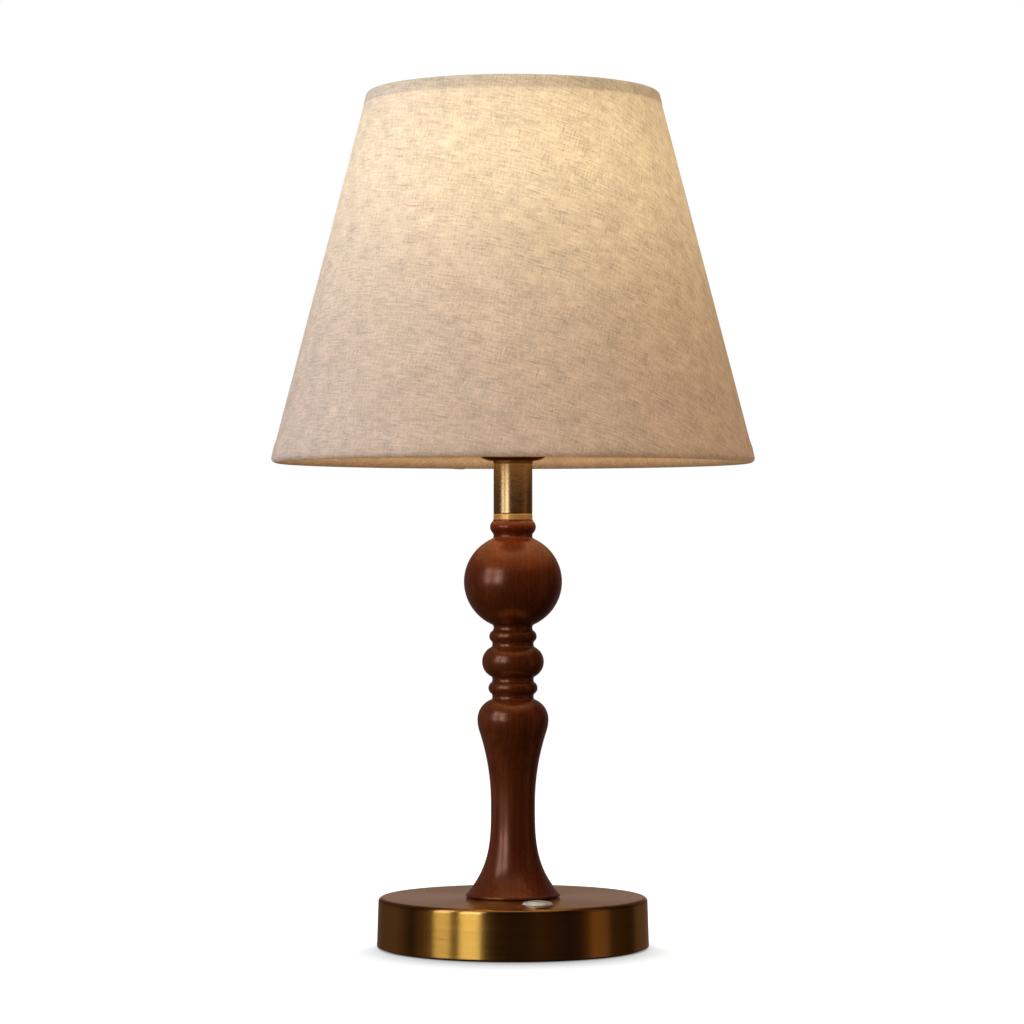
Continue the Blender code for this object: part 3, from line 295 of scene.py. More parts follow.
# %% Lights
PANE_DISTANCE = 2.4
PANE_CENTRE = Vector((0.0, 0.0, 0.12))
PANES = (("low", 8.5, 19.0, 3.55, 2.55), ("high", 28.5, 17.0, 2.90, 3.10))
PANES_RIGHT = (-36.3, 18.0)
PANES_LEFT = (-61.8, 15.5)
FILL_LEFT = 1.45
FILL_LEFT_TINT = (0.240, 0.485, 0.915)
FILL_RIGHT = 0.41
FILL_RIGHT_TINT = (1.0, 0.82, 0.70)
FILL_TOP = 0.42
FILL_TOP_TINT = (1.0, 0.76, 0.52)
SHADE_LIGHT_R = 0.05
SHADE_LIGHT_Z = 0.2435
SHADE_LIGHT = 1.7
SHADE_LIGHT_TINT = (1.0, 0.76, 0.50)


def area_light(name, shape, width, height, radiance, tint, place, glossy):
    """A light that no camera ray sees. Radiance 1 is white, and a disc's width and height are its diameter."""
    lamp = bpy.data.lights.new(name, "AREA")
    lamp.shape = shape
    lamp.size, lamp.size_y = width, height
    surface = width * height * (math.pi / 4 if shape == "DISK" else 1.0)
    lamp.energy = radiance * math.pi * surface
    lamp.color = tint
    obj = bpy.data.objects.new(name, lamp)
    scene.collection.objects.link(obj)
    obj.location = place
    obj.visible_camera = False
    obj.visible_glossy = glossy
    return obj


def softbox(name, azimuth, elevation, width, height, radiance, glossy=True, tint=(1.0, 1.0, 1.0)):
    """A rectangle of light in a direction from the lamp, with its angles and sizes in degrees."""
    out = Vector(direction(math.radians(azimuth), math.radians(elevation)))
    size = [2 * PANE_DISTANCE * math.tan(math.radians(a) / 2) for a in (width, height)]
    obj = area_light(name, "RECTANGLE", *size, radiance, tint, PANE_CENTRE + out * PANE_DISTANCE, glossy)
    obj.rotation_euler = out.to_track_quat("Z", "Y").to_euler()


for row, elevation, height, right, left in PANES:
    for side, (azimuth, width), level in (("right", PANES_RIGHT, right), ("left", PANES_LEFT, left)):
        softbox(f"pane_{row}_{side}", azimuth, elevation, width, height, level)
softbox("fill_left", -85.0, 25.0, 60.0, 50.0, FILL_LEFT, glossy=False, tint=FILL_LEFT_TINT)
softbox("fill_right", 80.0, 15.0, 50.0, 50.0, FILL_RIGHT, glossy=False, tint=FILL_RIGHT_TINT)
softbox("fill_top", 0.0, 78.0, 60.0, 60.0, FILL_TOP, tint=FILL_TOP_TINT)
across = 2 * SHADE_LIGHT_R
area_light("shade_light", "DISK", across, across, SHADE_LIGHT, SHADE_LIGHT_TINT, (0.0, 0.0, SHADE_LIGHT_Z), False)

# %% [markdown]
# The lamp stands on a plain white floor. It has to melt into the backdrop and still carry the soft shadow round
# the base, so it is a wide disc whose outer part fades away, and a camera ray sees its glow, dimmed where the
# lamp hides the sky. That occlusion is looked for from above and behind, and further out in front of the base
# than behind it, because the photograph's shadow lies that way. The metal doesn't show the floor, because there the
# base's side shows the room down to its lower edge, and from below the disc is clear, so that the felt shows.

# %% Floor
FLOOR_R = 1.6
FLOOR_COLOUR = 0.12
FLOOR_LIFT = 1.24
SHADOW_SHORT = 0.013
SHADOW_LONG = 0.12
SHADOW_DEPTH = 1.1
SHADOW_LEAN = 0.8
FADE_START = 0.35 * FLOOR_R
FADE_STOP = 0.95 * FLOOR_R

bpy.ops.mesh.primitive_circle_add(vertices=96, radius=FLOOR_R, fill_type="NGON")
floor = bpy.context.active_object
floor.name = "floor"
floor.visible_glossy = False
floor.visible_diffuse = False
paper, w, into = new_material("floor_paper", Roughness=0.9, Specular_IOR_Level=0.0)
w.join((FLOOR_COLOUR,) * 3, into["Base Color"])
place = object_place(w)
solid = w.remap(w.vector("LENGTH", place), FADE_START, FADE_STOP, 1.0, 0.0, smooth=True)
upper_side = w.math("SUBTRACT", 1.0, w.add("ShaderNodeNewGeometry").outputs["Backfacing"])
w.join(w.times(solid, upper_side), into["Alpha"])
rays = w.add("ShaderNodeLightPath").outputs
from_behind = tuple(Vector((*(-towards_camera[:2]), SHADOW_LEAN)).normalized())
facing = w.vector("ADD", from_behind)
ahead = w.vector("DOT_PRODUCT", w.vector("NORMALIZE", place), tuple(towards_camera))
reach = w.remap(ahead, 0.0, 1.0, SHADOW_SHORT, SHADOW_LONG)
open_share = w.add("ShaderNodeAmbientOcclusion", {"Distance": reach, "Normal": facing}).outputs["AO"]
lift = w.times(w.math("POWER", open_share, SHADOW_DEPTH), FLOOR_LIFT)
w.join(w.times(rays["Is Camera Ray"], lift), into["Emission Strength"])
w.join((1.0, 1.0, 1.0), into["Emission Color"])
floor.data.materials.append(paper)
print("floor radius", FLOOR_R)

# %% [markdown]
# Almost every piece here is an outline carried round an axis, as on a lathe. The outline is a list of corners
# in radius and height, and each corner can have its own rounding. A rounded corner is what catches light on
# a real edge, so no edge that shows is left sharp. Near a rounding the flat stretches get an extra point, which
# keeps the smooth shading of the curve from spreading over the flat.

# %% Outlines
HOLD = 0.0004


def rounded(corners, steps=6):
    """Corners (radius, height, rounding) as points: each rounding r becomes the quadratic curve
    (1-t)^2 A + 2t(1-t) P + t^2 B round its corner P, where A and B lie r away from P along its two sides."""
    points = np.array([c[:2] for c in corners], float)
    found = []
    t = np.linspace(0.0, 1.0, steps + 1)[:, None]
    for k, corner in enumerate(corners):
        size = corner[2] if len(corner) > 2 else 0.0
        here = points[k]
        if size == 0.0:
            found.append(here[None])
            continue
        before, after = points[k - 1] - here, points[(k + 1) % len(points)] - here
        a = here + before / np.linalg.norm(before) * size
        b = here + after / np.linalg.norm(after) * size
        found.append((1 - t) ** 2 * a + 2 * t * (1 - t) * here + t ** 2 * b)
    return np.concatenate(found)


def held(outline, closed):
    """The outline with a point HOLD in from both ends of each stretch longer than three times HOLD."""
    start = outline
    stop = np.roll(outline, -1, axis=0)
    gap = stop - start
    length = np.linalg.norm(gap, axis=1, keepdims=True)
    share = np.where(length > 3 * HOLD, HOLD / np.maximum(length, HOLD), np.nan)
    rows = np.stack([start, start + gap * share, stop - gap * share], axis=1).reshape(-1, 2)
    rows = rows if closed else rows[:-2]
    return rows[~np.isnan(rows).any(axis=1)]


def arc_points(centre, size, start, stop, steps):
    """Points centre + (size_r cos a, size_z sin a) for angles a from start to stop, in degrees, 90 up."""
    a = np.radians(np.linspace(start, stop, steps + 1))
    return np.stack([centre[0] + size[0] * np.cos(a), centre[1] + size[1] * np.sin(a)], axis=1)


def double_arc(foot_r, top_r, low, height, hollow_share, steps):
    """A swell, upwards: a hollow arc and a round one, tangent to each other and upright at both ends."""
    turn = 2 * math.atan2(top_r - foot_r, height)
    total = height / math.sin(turn)
    hollow, crown = total * hollow_share, total * (1 - hollow_share)
    a = turn * np.linspace(0.0, 1.0, steps + 1)
    back = a[::-1][1:]
    lower = np.stack([foot_r + hollow * (1 - np.cos(a)), low + hollow * np.sin(a)], axis=1)
    upper = np.stack([top_r - crown * (1 - np.cos(back)), low + height - crown * np.sin(back)], axis=1)
    return np.concatenate([lower, upper])


def spaced(line, step):
    """A line's points at even steps along it, worked out by interpolation on its length."""
    length = np.concatenate([[0.0], np.cumsum(np.linalg.norm(np.diff(line, axis=0), axis=1))])
    at = np.linspace(0.0, length[-1], int(length[-1] / step) + 1)
    return np.stack([np.interp(at, length, line[:, k]) for k in range(2)], axis=1), at


print("a square corner rounded by 1 mm:", len(rounded([(1, 0, 0.001), (1, 1), (0, 1)])), "points")

# %% [markdown]
# Carrying the outline round gives a grid of points, with rows along the outline and columns round the axis.
# Four neighbours make a face. Outlines here run down the outer side, and then the faces point outwards. The
# grid also gets a map, in metres, of how far along the outline and how far round a point is, because brushing
# and threads follow the surface and not the room.

# %% Turned surfaces
def grid_mesh(name, points, uv, ring_rows):
    """A mesh whose faces join point (i, j) to (i+1, j), (i+1, j+1) and (i, j+1), and a map of the same grid."""
    rows, columns = points.shape[:2]
    i = np.arange(rows if ring_rows else rows - 1)[:, None]
    j = np.arange(columns)[None, :]
    low, side = (i + 1) % rows, (j + 1) % columns
    quads = np.stack([i * columns + j, low * columns + j, low * columns + side, i * columns + side], axis=-1)
    mesh = bpy.data.meshes.new(name)
    mesh.from_pydata(points.reshape(-1, 3), [], quads.reshape(-1, 4).tolist())
    corners = np.stack([uv[i, j], uv[i + 1, j], uv[i + 1, j + 1], uv[i, j + 1]], axis=2)
    layer = mesh.uv_layers.new(name="surface")
    layer.uv.foreach_set("vector", corners.astype(np.float32).reshape(-1))
    return mesh


def carried_round(radius, height, a):
    """The grid of points (r cos a, r sin a, h) for radii r, heights h and angles a."""
    return np.stack(np.broadcast_arrays(radius * np.cos(a), radius * np.sin(a), height), axis=2)


def shaded(mesh, angle=40.0):
    """Smooth shading with sharp edges past an angle, and points that lie together joined."""
    work = bmesh.new()
    work.from_mesh(mesh)
    bmesh.ops.remove_doubles(work, verts=work.verts, dist=1e-7)
    bmesh.ops.recalc_face_normals(work, faces=work.faces)
    work.to_mesh(mesh)
    work.free()
    mesh.shade_smooth()
    mesh.set_sharp_from_angle(angle=math.radians(angle))
    return mesh


def turned_mesh(name, outline, sides, closed=True, centre=(0.0, 0.0), lying=False):
    """Point (r, h) at angle a goes to (r cos a, r sin a, h) beside its axis, or lying along +Y to
    (r sin a, h, r cos a). The map is (distance along the outline, a times the largest radius)."""
    outline = held(np.asarray(outline, float), closed)
    a = np.linspace(0.0, 2 * math.pi, sides, endpoint=False)
    radius, height = outline[:, :1], outline[:, 1:]
    along = np.ones_like(a) * height
    if lying:
        points = np.stack([radius * np.sin(a) + centre[0], along, radius * np.cos(a) + centre[1]], axis=2)
    else:
        points = np.stack([radius * np.cos(a) + centre[0], radius * np.sin(a) + centre[1], along], axis=2)
    steps = np.linalg.norm(np.diff(outline, axis=0, append=outline[:1]), axis=1)
    distance = np.concatenate([[0.0], np.cumsum(steps)])[:, None]
    round_it = np.linspace(0.0, 2 * math.pi * radius.max(), sides + 1)[None, :]
    uv = np.stack(np.broadcast_arrays(distance, round_it), axis=2)
    return shaded(grid_mesh(name, points, uv, closed))


def plain_mesh(name, points, ring_rows=True):
    """A smooth mesh of a grid whose material needs no map."""
    return shaded(grid_mesh(name, points, np.zeros((points.shape[0] + 1, points.shape[1] + 1, 2)), ring_rows))


pieces = []


def keep(name, mesh, material, replaced, body="lamp"):
    """Makes the finished piece: its material, the nodes that it stands for and its body."""
    obj = bpy.data.objects.new(name, mesh)
    scene.collection.objects.link(obj)
    obj.data.materials.clear()
    obj.data.materials.append(material)
    if replaced:
        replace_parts(obj, *replaced)
    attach(obj, body)
    pieces.append(obj)
    return obj


def keep_turned(name, outline, sides, material, slot, node, body="lamp", **how):
    """Makes the finished piece that an outline gives."""
    return keep(name, turned_mesh(name, outline, sides, **how), material, [node], body)


print("surface helpers ready")

# %% [markdown]
# Brass on this lamp is spun or turned, brushed with the work still going round, and lacquered in a dark gold
# tone. So its scratches are rings. A ring has one radius and one height, so noise that is read from radius and
# height alone gives rings on a flat top and lines on a side with one pattern. A little of the angle is let in,
# because no real scratch goes all the way round. The group below is used by every turned metal.

# %% Brushing
group, have, give = new_group(
    "ring_brushing",
    [("Place", "Vector", None), ("Lines per metre", "Float", 2600.0), ("Run", "Float", 2.0)],
    [("Lines", "Float"), ("Patches", "Float")],
)
BRUSHING = group
parts = group.split(have["Place"])
heading = group.math("ARCTAN2", parts["Y"], parts["X"])
across = group.math("ADD", group.from_axis(have["Place"]), parts["Z"])
lines_at = group.add("ShaderNodeCombineXYZ", {
    0: group.times(across, have["Lines per metre"]),
    1: group.times(heading, have["Run"]),
    2: group.math("SINE", heading),
}).outputs[0]
fine = group.noise(lines_at, 1.0, detail=3.0, roughness=0.65)
coarse_at = group.vector("MULTIPLY", lines_at, (0.23, 0.4, 1.0))
coarse = group.noise(coarse_at, 1.0, detail=2.0)
group.join(group.mix(0.4, fine, coarse), give["Lines"])
group.join(group.noise(have["Place"], 45.0, detail=3.0), give["Patches"])
print("group", BRUSHING.tree.name)


def brushed_metal(name, dark, light, roughness, relief, **plain):
    """Metal with ring brushing about the lamp's axis: colour, roughness and bump follow the lines."""
    made, w, into = new_material(name, **{"Metallic": 1.0, **plain})
    brush = use_group(w, BRUSHING, {"Place": object_place(w)})
    blend = w.mix(0.5, brush["Lines"], brush["Patches"])
    w.join(w.mix(w.remap(blend, 0.35, 0.65), dark, light), into["Base Color"])
    w.join(w.remap(brush["Lines"], 0.3, 0.7, roughness - 0.04, roughness + 0.06), into["Roughness"])
    w.join(bump(w, brush["Lines"], relief), into["Normal"])
    w.join(w.add("ShaderNodeTangent", direction_type="UV_MAP", uv_map="surface").outputs[0], into["Tangent"])
    return made


# %% [markdown]
# Four brasses come from it. The base's is a dark gold with a strong sweep across the lines and a clear lacquer. The
# neck's is paler and nearly polished. The ferrule's is lighter and duller, as painted light for the light that falls
# on it from the shade above, and the cap's is a dull brown gold, darkened partly as painted shade that dims its
# highlight.

# %% Brass
# The tint of the metal's shine at a glancing angle, which is shared by the three that are all metal.
BRASS_GLANCE = (0.62, 0.50, 0.36)
BRASS = brushed_metal(
    "brushed_brass", (0.68, 0.395, 0.080), (0.80, 0.480, 0.104), 0.21, 0.000008,
    Anisotropic=0.85, Specular_Tint=BRASS_GLANCE, Coat_Weight=0.5, Coat_Roughness=0.10,
)
TUBE_BRASS = brushed_metal(
    "neck_brass", (0.60, 0.42, 0.21), (0.70, 0.50, 0.26), 0.275, 0.0000003,
    Anisotropic=0.2, Specular_Tint=BRASS_GLANCE,
)
# painted light: the ferrule's paler, duller brass stands for the light that falls on it from the shade above
FERRULE_LIT_BRASS = brushed_metal(
    "ferrule_brass_painted_light", (0.68, 0.42, 0.14), (0.80, 0.52, 0.19), 0.34, 0.000002, Metallic=0.55,
)
# painted shade: the cap's brass is a duller, browner finish, darkened partly to dim its highlight under the shade
CAP_SHADED_BRASS = brushed_metal(
    "cap_brass_painted_shade", (0.52, 0.27, 0.075), (0.62, 0.33, 0.100), 0.45, 0.000002, Specular_Tint=BRASS_GLANCE,
)
print("brass finishes", BRASS.name, TUBE_BRASS.name, CAP_SHADED_BRASS.name)

# %% [markdown]
# The base is a dish spun from one sheet of brass. Its side leans in a little towards the top, and its upper
# edge has the rounding that spinning leaves. The outline goes from the pipe's hole over the top and the edge,
# down the side, and back inside at the sheet's thickness. The hole for the switch and the one for the cord are
# then cut with Boolean modifiers, which are applied, because a cut is simpler to get right than a grid that
# bends round a hole. The rounded edge gets a darker, browner colour as painted shade, which dims the bright
# reflection that it would catch there, and a mask by radius and height mixes that in.

# %% Base
low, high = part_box("base_shell")
BASE_R = (high.x - low.x) / 2
BASE_TOP = high.z
BASE_LOW = low.z
BASE_TAPER = 0.0008
SHEET = 0.0014
EDGE = 0.0022
LIP = 0.0004
PIPE_R = (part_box("threaded_pipe")[1].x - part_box("threaded_pipe")[0].x) / 2
BORE_R = PIPE_R + 0.0003
inner_edge = EDGE - SHEET
base_line = rounded([
    (BORE_R, BASE_TOP),
    (BASE_R - BASE_TAPER, BASE_TOP, EDGE),
    (BASE_R, BASE_LOW, LIP),
    (BASE_R - SHEET, BASE_LOW, LIP),
    (BASE_R - BASE_TAPER - SHEET, BASE_TOP - SHEET, inner_edge),
    (BORE_R, BASE_TOP - SHEET),
], steps=8)
base_mesh = turned_mesh("brass_base", base_line, 240)

switch_low, switch_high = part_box("switch_bezel")
SWITCH = ((switch_low.x + switch_high.x) / 2, (switch_low.y + switch_high.y) / 2)
grommet_low, grommet_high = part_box("cord_grommet")
OUTLET_Z = (grommet_low.z + grommet_high.z) / 2
SWITCH_HOLE_R = 0.0052
OUTLET_HOLE_R = 0.0049
# painted shade: a darker brown for the rounded edge, which dims its reflection
EDGE_SHADE_TONE = (0.44, 0.225, 0.060)
EDGE_START = BASE_R - BASE_TAPER - EDGE
CUTTER_SIDES = 48


def cut_with(mesh, cutters):
    """The mesh with each cutter's volume taken away, worked out by Boolean modifiers."""
    obj = bpy.data.objects.new("workpiece", mesh)
    scene.collection.objects.link(obj)
    for cutter in cutters:
        step = obj.modifiers.new("cut", "BOOLEAN")
        step.operation = "DIFFERENCE"
        step.object = cutter
    bpy.context.view_layer.update()
    made = bpy.data.meshes.new_from_object(obj.evaluated_get(bpy.context.evaluated_depsgraph_get()))
    for spare in [obj, *cutters]:
        bpy.data.objects.remove(spare)
    made.shade_smooth()
    made.set_sharp_from_angle(angle=math.radians(40))
    return made


def round_cutter(radius, depth, place, turn=(0.0, 0.0, 0.0)):
    """A cylinder that a hole is cut with."""
    size = {"vertices": CUTTER_SIDES, "radius": radius, "depth": depth}
    bpy.ops.mesh.primitive_cylinder_add(**size, location=place, rotation=turn)
    return bpy.context.active_object


w = Wiring(BRASS.node_tree)
brass_into = BRASS.node_tree.nodes["Principled BSDF"].inputs
place = object_place(w)
# painted shade: the rounded top edge is mixed towards a darker brown, so that it reflects less light
shaded_edge = w.times(
    w.remap(w.from_axis(place), EDGE_START + 0.0002, EDGE_START + 0.0008, smooth=True),
    w.remap(w.split(place)["Z"], BASE_TOP - 0.0026, BASE_TOP - 0.0014, smooth=True),
)
w.join(w.mix(shaded_edge, brass_into["Base Color"].links[0].from_socket, EDGE_SHADE_TONE), brass_into["Base Color"])

cutters = [
    round_cutter(SWITCH_HOLE_R, 4 * SHEET, (*SWITCH, BASE_TOP)),
    round_cutter(OUTLET_HOLE_R, 8 * SHEET, (0.0, BASE_R, OUTLET_Z), (math.pi / 2, 0.0, 0.0)),
]
keep("brass_base", cut_with(base_mesh, cutters), BRASS, ["base_shell"])
print("base radius in mm", mm(BASE_R), "top at", mm(BASE_TOP))

# %% [markdown]
# Wood shows its growth rings wherever a turned surface cuts them. The rings are cylinders about the pith, so a
# ring's number is the distance to an axis that lies beside the stem and leans a little; on a ball they then
# show as long arches and on a straight stretch as lines. Finer noise that is drawn out along the grain gives
# fibres and pores. The red-brown stain is uneven. Satin varnish over a dark stain shines in a warm tone, so the
# wood's own shine is tinted, and only a thin coat on top of it shines white.

# %% Wood
group, have, give = new_group(
    "turned_grain",
    [("Place", "Vector", None), ("Rings per metre", "Float", 330.0)],
    [("Rings", "Float"), ("Fibres", "Float"), ("Pores", "Float"), ("Stain", "Float")],
)
GRAIN = group
PITH = (0.031, 0.018, 0.0)
PITH_LEAN = (math.radians(7.0), math.radians(-5.0), 0.0)
RING_SWAY = 2.4
STAIN_DARK = (0.108, 0.0178, 0.0028)
STAIN_LIGHT = (0.200, 0.0385, 0.0070)
RING_TONE = (0.085, 0.0145, 0.0030)
FIBRE_TONE = (0.058, 0.0100, 0.0022)
PORE_TONE = (0.022, 0.0040, 0.0012)
about = group.stretched(have["Place"], (1.0, 1.0, 0.12), turn=PITH_LEAN, shift=PITH)
sway = group.noise(group.stretched(have["Place"], (24.0, 24.0, 9.0)), 1.0, detail=3.0)
ring = group.math("MULTIPLY_ADD", group.from_axis(about), have["Rings per metre"], group.times(sway, RING_SWAY))
ring = group.math("FRACT", ring)
rise = group.remap(ring, 0.0, 0.78, smooth=True)
fall = group.remap(ring, 0.86, 1.0, 1.0, 0.0, smooth=True)
group.join(group.times(rise, fall), give["Rings"])
fibres_at = group.stretched(have["Place"], (900.0, 900.0, 20.0), turn=PITH_LEAN)
group.join(group.noise(fibres_at, 1.0, detail=3.0, roughness=0.6), give["Fibres"])
pores_at = group.stretched(have["Place"], (2600.0, 2600.0, 190.0), turn=PITH_LEAN)
group.join(group.remap(group.noise(pores_at, 1.0, detail=1.0), 0.60, 0.70), give["Pores"])
group.join(group.noise(group.stretched(have["Place"], (55.0, 55.0, 26.0)), 1.0, detail=3.0), give["Stain"])

WOOD, w, into = new_material("stained_wood", IOR=1.80, Specular_Tint=(1.0, 0.52, 0.37), Coat_Weight=0.06,
                             Coat_Roughness=0.20)
grain = use_group(w, GRAIN, {"Place": object_place(w)})
tone = w.ramp(grain["Stain"], [(0.30, STAIN_DARK), (0.70, STAIN_LIGHT)])
tone = w.mix(w.times(grain["Rings"], 0.34), tone, RING_TONE)
tone = w.mix(w.remap(grain["Fibres"], 0.35, 0.68, 0.0, 0.62), tone, FIBRE_TONE)
tone = w.mix(w.times(grain["Pores"], 0.40), tone, PORE_TONE)
w.join(tone, into["Base Color"])
w.join(w.remap(grain["Fibres"], 0.3, 0.7, 0.20, 0.28), into["Roughness"])
relief = w.math("SUBTRACT", w.times(grain["Fibres"], 0.4), grain["Pores"])
w.join(bump(w, relief, 0.00003, 0.5), into["Normal"])
print("wood", WOOD.name)

# %% [markdown]
# The stem is one turned piece, 194 mm tall. A turner would name its features from the foot up: a rounded foot
# edge, a hollow flare, a long waist that swells to the shoulder, a small bead, a large bead, a small bead, the
# ball, and a collar under the ferrule, with a narrow groove between each two. Each feature is a short function
# that gives its part of the outline. Every groove's floor is rounded, as a gouge leaves it, and its corners are
# softened, as sanding leaves them. A bead, the ball and the collar are given as (radius, height).

# %% Stem
low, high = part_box("wooden_stem")
STEM_FOOT = low.z
STEM_TOP = high.z
FOOT_R = 0.0244
FOOT_EDGE_H = 0.0015
FOOT_EDGE_INSET = 0.0006
FLARE_H = 0.0462
FLARE_POWER = 3.3
WAIST_R = 0.01135
SWELL_H = 0.0433
SWELL_HOLLOW_SHARE = 0.857
SHOULDER_R = 0.0183
SHOULDER_ROUND_R = 0.0109
GROOVE_R = 0.0108
GROOVE_H = 0.0026
NECK_GROOVE_R = 0.0102
NECK_GROOVE_H = 0.0025
LOW_BEAD = (0.0127, 0.0062)
MID_BEAD = (0.01595, 0.0156)
HIGH_BEAD = (0.01225, 0.00585)
BALL = (0.0253, 0.0245)
COLLAR = (0.01185, 0.0064)
LAND = (0.0103, 0.0005)
SOFT_BELOW_R = 0.0128
SOFT_FADE_H = 0.0015
SOFT_POINT_GAP = 0.00012
FLARE_SPACING = 1.6


def bead_points(foot, height, groove_r, top_r, bead_r, steps=20):
    """The arc of a bead, upwards, from groove_r at its foot to top_r at its top, through bead_r."""
    rise = bead_r - (groove_r + top_r) / 2
    radius = (height ** 2 / 4 + rise ** 2) / (2 * rise)
    half = math.degrees(math.asin(height / 2 / radius))
    points = arc_points((bead_r - radius, foot + height / 2), (radius, radius), -half, half, steps)
    points[:, 0] += np.linspace(groove_r - points[0, 0], top_r - points[-1, 0], steps + 1)
    return points


def groove_points(foot, height, low_r, high_r, depth=0.0002, steps=8):
    """A groove's round floor, upwards: the line from low_r to high_r, drawn in by depth times sin(pi t)."""
    t = np.linspace(0.0, 1.0, steps + 1)[1:-1]
    return np.stack([low_r + (high_r - low_r) * t - depth * np.sin(math.pi * t), foot + height * t], axis=1)


def flare_points(steps=34):
    """The flare, upwards: radius WAIST_R + (foot - WAIST_R)(1 - s)^FLARE_POWER at share s of its height."""
    s = (np.arange(1, steps) / steps) ** FLARE_SPACING
    foot = FOOT_R - FOOT_EDGE_INSET
    return np.stack([WAIST_R + (foot - WAIST_R) * (1 - s) ** FLARE_POWER, FOOT_EDGE_H + FLARE_H * s], axis=1)


def stem_points():
    """The whole outline from the foot up, in the order that a turner cuts it."""
    foot = FOOT_R - FOOT_EDGE_INSET
    swell = double_arc(WAIST_R, SHOULDER_R, FOOT_EDGE_H + FLARE_H, SWELL_H, SWELL_HOLLOW_SHARE, 18)
    line = [bead_points(0.0, FOOT_EDGE_H, foot, foot, FOOT_R, 8), flare_points(), swell]
    z = FOOT_EDGE_H + FLARE_H + SWELL_H
    rise = math.sqrt(SHOULDER_ROUND_R ** 2 - (SHOULDER_ROUND_R - SHOULDER_R + GROOVE_R) ** 2)
    stop = math.degrees(math.asin(rise / SHOULDER_ROUND_R))
    size = (SHOULDER_ROUND_R, SHOULDER_ROUND_R)
    line.append(arc_points((SHOULDER_R - SHOULDER_ROUND_R, z), size, 0.0, stop, 18)[1:])
    z += rise
    for (bead_r, bead_h), top_r, groove_r in (
        (LOW_BEAD, GROOVE_R, GROOVE_R), (MID_BEAD, GROOVE_R, GROOVE_R), (HIGH_BEAD, NECK_GROOVE_R, GROOVE_R),
    ):
        line.append(groove_points(z, GROOVE_H, groove_r, groove_r))
        line.append(bead_points(z + GROOVE_H, bead_h, groove_r, top_r, bead_r))
        z += GROOVE_H + bead_h
    line.append(groove_points(z, GROOVE_H, NECK_GROOVE_R, NECK_GROOVE_R))
    z += GROOVE_H
    cut_h = BALL[1] * math.sqrt(1 - (NECK_GROOVE_R / BALL[0]) ** 2)
    cut = math.degrees(math.asin(cut_h / BALL[1]))
    line.append(arc_points((0.0, z + cut_h), BALL, -cut, cut, 64))
    z += 2 * cut_h
    line.append(groove_points(z, NECK_GROOVE_H, NECK_GROOVE_R, NECK_GROOVE_R))
    z += NECK_GROOVE_H
    line.append(bead_points(z, COLLAR[1], LAND[0], LAND[0], COLLAR[0], 16))
    line.append(np.array([(LAND[0], z + COLLAR[1] + LAND[1])]))
    return np.concatenate(line)


def softened(line, from_z, to_z, blur=0.00042, step=0.00006):
    """The line with its corners between two heights rounded: a Gaussian mean along its length, faded in
    over SOFT_FADE_H at both heights, with extra points there in the grooves, at every sixth step."""
    fine, at = spaced(line, step)
    count = int(4 * blur / step)
    weight = np.exp(-0.5 * (np.arange(-count, count + 1) * step / blur) ** 2)
    mean = np.stack([np.convolve(np.pad(fine[:, k], count, mode="edge"), weight / weight.sum(), "valid")
                     for k in range(2)], axis=1)
    share = np.clip(np.minimum(fine[:, 1] - from_z, to_z - fine[:, 1]) / SOFT_FADE_H, 0.0, 1.0)[:, None]
    mixed = fine + (mean - fine) * share
    own = np.concatenate([[0.0], np.cumsum(np.linalg.norm(np.diff(line, axis=0), axis=1))])
    extra = at[(share[:, 0] > 0) & (fine[:, 0] < SOFT_BELOW_R)][::6]
    pick = np.unique(np.round(np.concatenate([own, extra]), 6))
    pick = pick[np.concatenate([np.diff(pick) > SOFT_POINT_GAP, [True]])]
    return np.stack([np.interp(pick, at, mixed[:, k]) for k in range(2)], axis=1)


stem_line = softened(stem_points(), FOOT_EDGE_H + FLARE_H + SWELL_H, STEM_TOP - STEM_FOOT - 0.0012)
stem_line[:, 1] += STEM_FOOT
bore = np.array([(BORE_R, STEM_FOOT), (BORE_R, stem_line[-1, 1])])
line = np.concatenate([stem_line[::-1], bore])
keep_turned("turned_stem", line, 160, WOOD, "stained_wood", "wooden_stem")
print("stem top in mm", mm(stem_line[-1, 1]), "frame", mm(STEM_TOP))

# %% [markdown]
# The neck is three small turned parts: a ferrule that covers the wood's end grain, a tube that stands on it,
# and the lampholder's cap, which shows from below as a small dark dish. They are placed by their nodes' boxes.
# The cap is cast thicker at its hub, so its outline keeps the hub's step and the dome's even wall.

# %% Neck and lampholder cap
def node_place(name):
    """A node's outer radius, lowest height and highest height."""
    low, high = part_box(name)
    return (high.x - low.x) / 2, low.z, high.z


ferrule_r, ferrule_low, spigot_top = node_place("neck_ferrule")
SPIGOT_H = 0.003
TUBE_WALL = 0.001
tube_r = node_place("neck_tube")[0]
cap_r, cap_low, cap_top = node_place("holder_cap")
shelf = spigot_top - SPIGOT_H
spigot_r = tube_r - TUBE_WALL - 0.0003
line = rounded([
    (spigot_r, spigot_top), (spigot_r, shelf), (ferrule_r, shelf, 0.0005), (ferrule_r, STEM_TOP, 0.0002),
    (BORE_R, STEM_TOP), (BORE_R, spigot_top),
], steps=4)
keep_turned("ferrule", line, 96, FERRULE_LIT_BRASS, "brushed_brass", "neck_ferrule")
line = rounded([
    (tube_r, cap_low, 0.0002), (tube_r, shelf, 0.0002), (tube_r - TUBE_WALL, shelf, 0.0002),
    (tube_r - TUBE_WALL, cap_low, 0.0002),
], steps=3)
keep_turned("neck_sleeve", line, 96, TUBE_BRASS, "brushed_brass", "neck_tube")

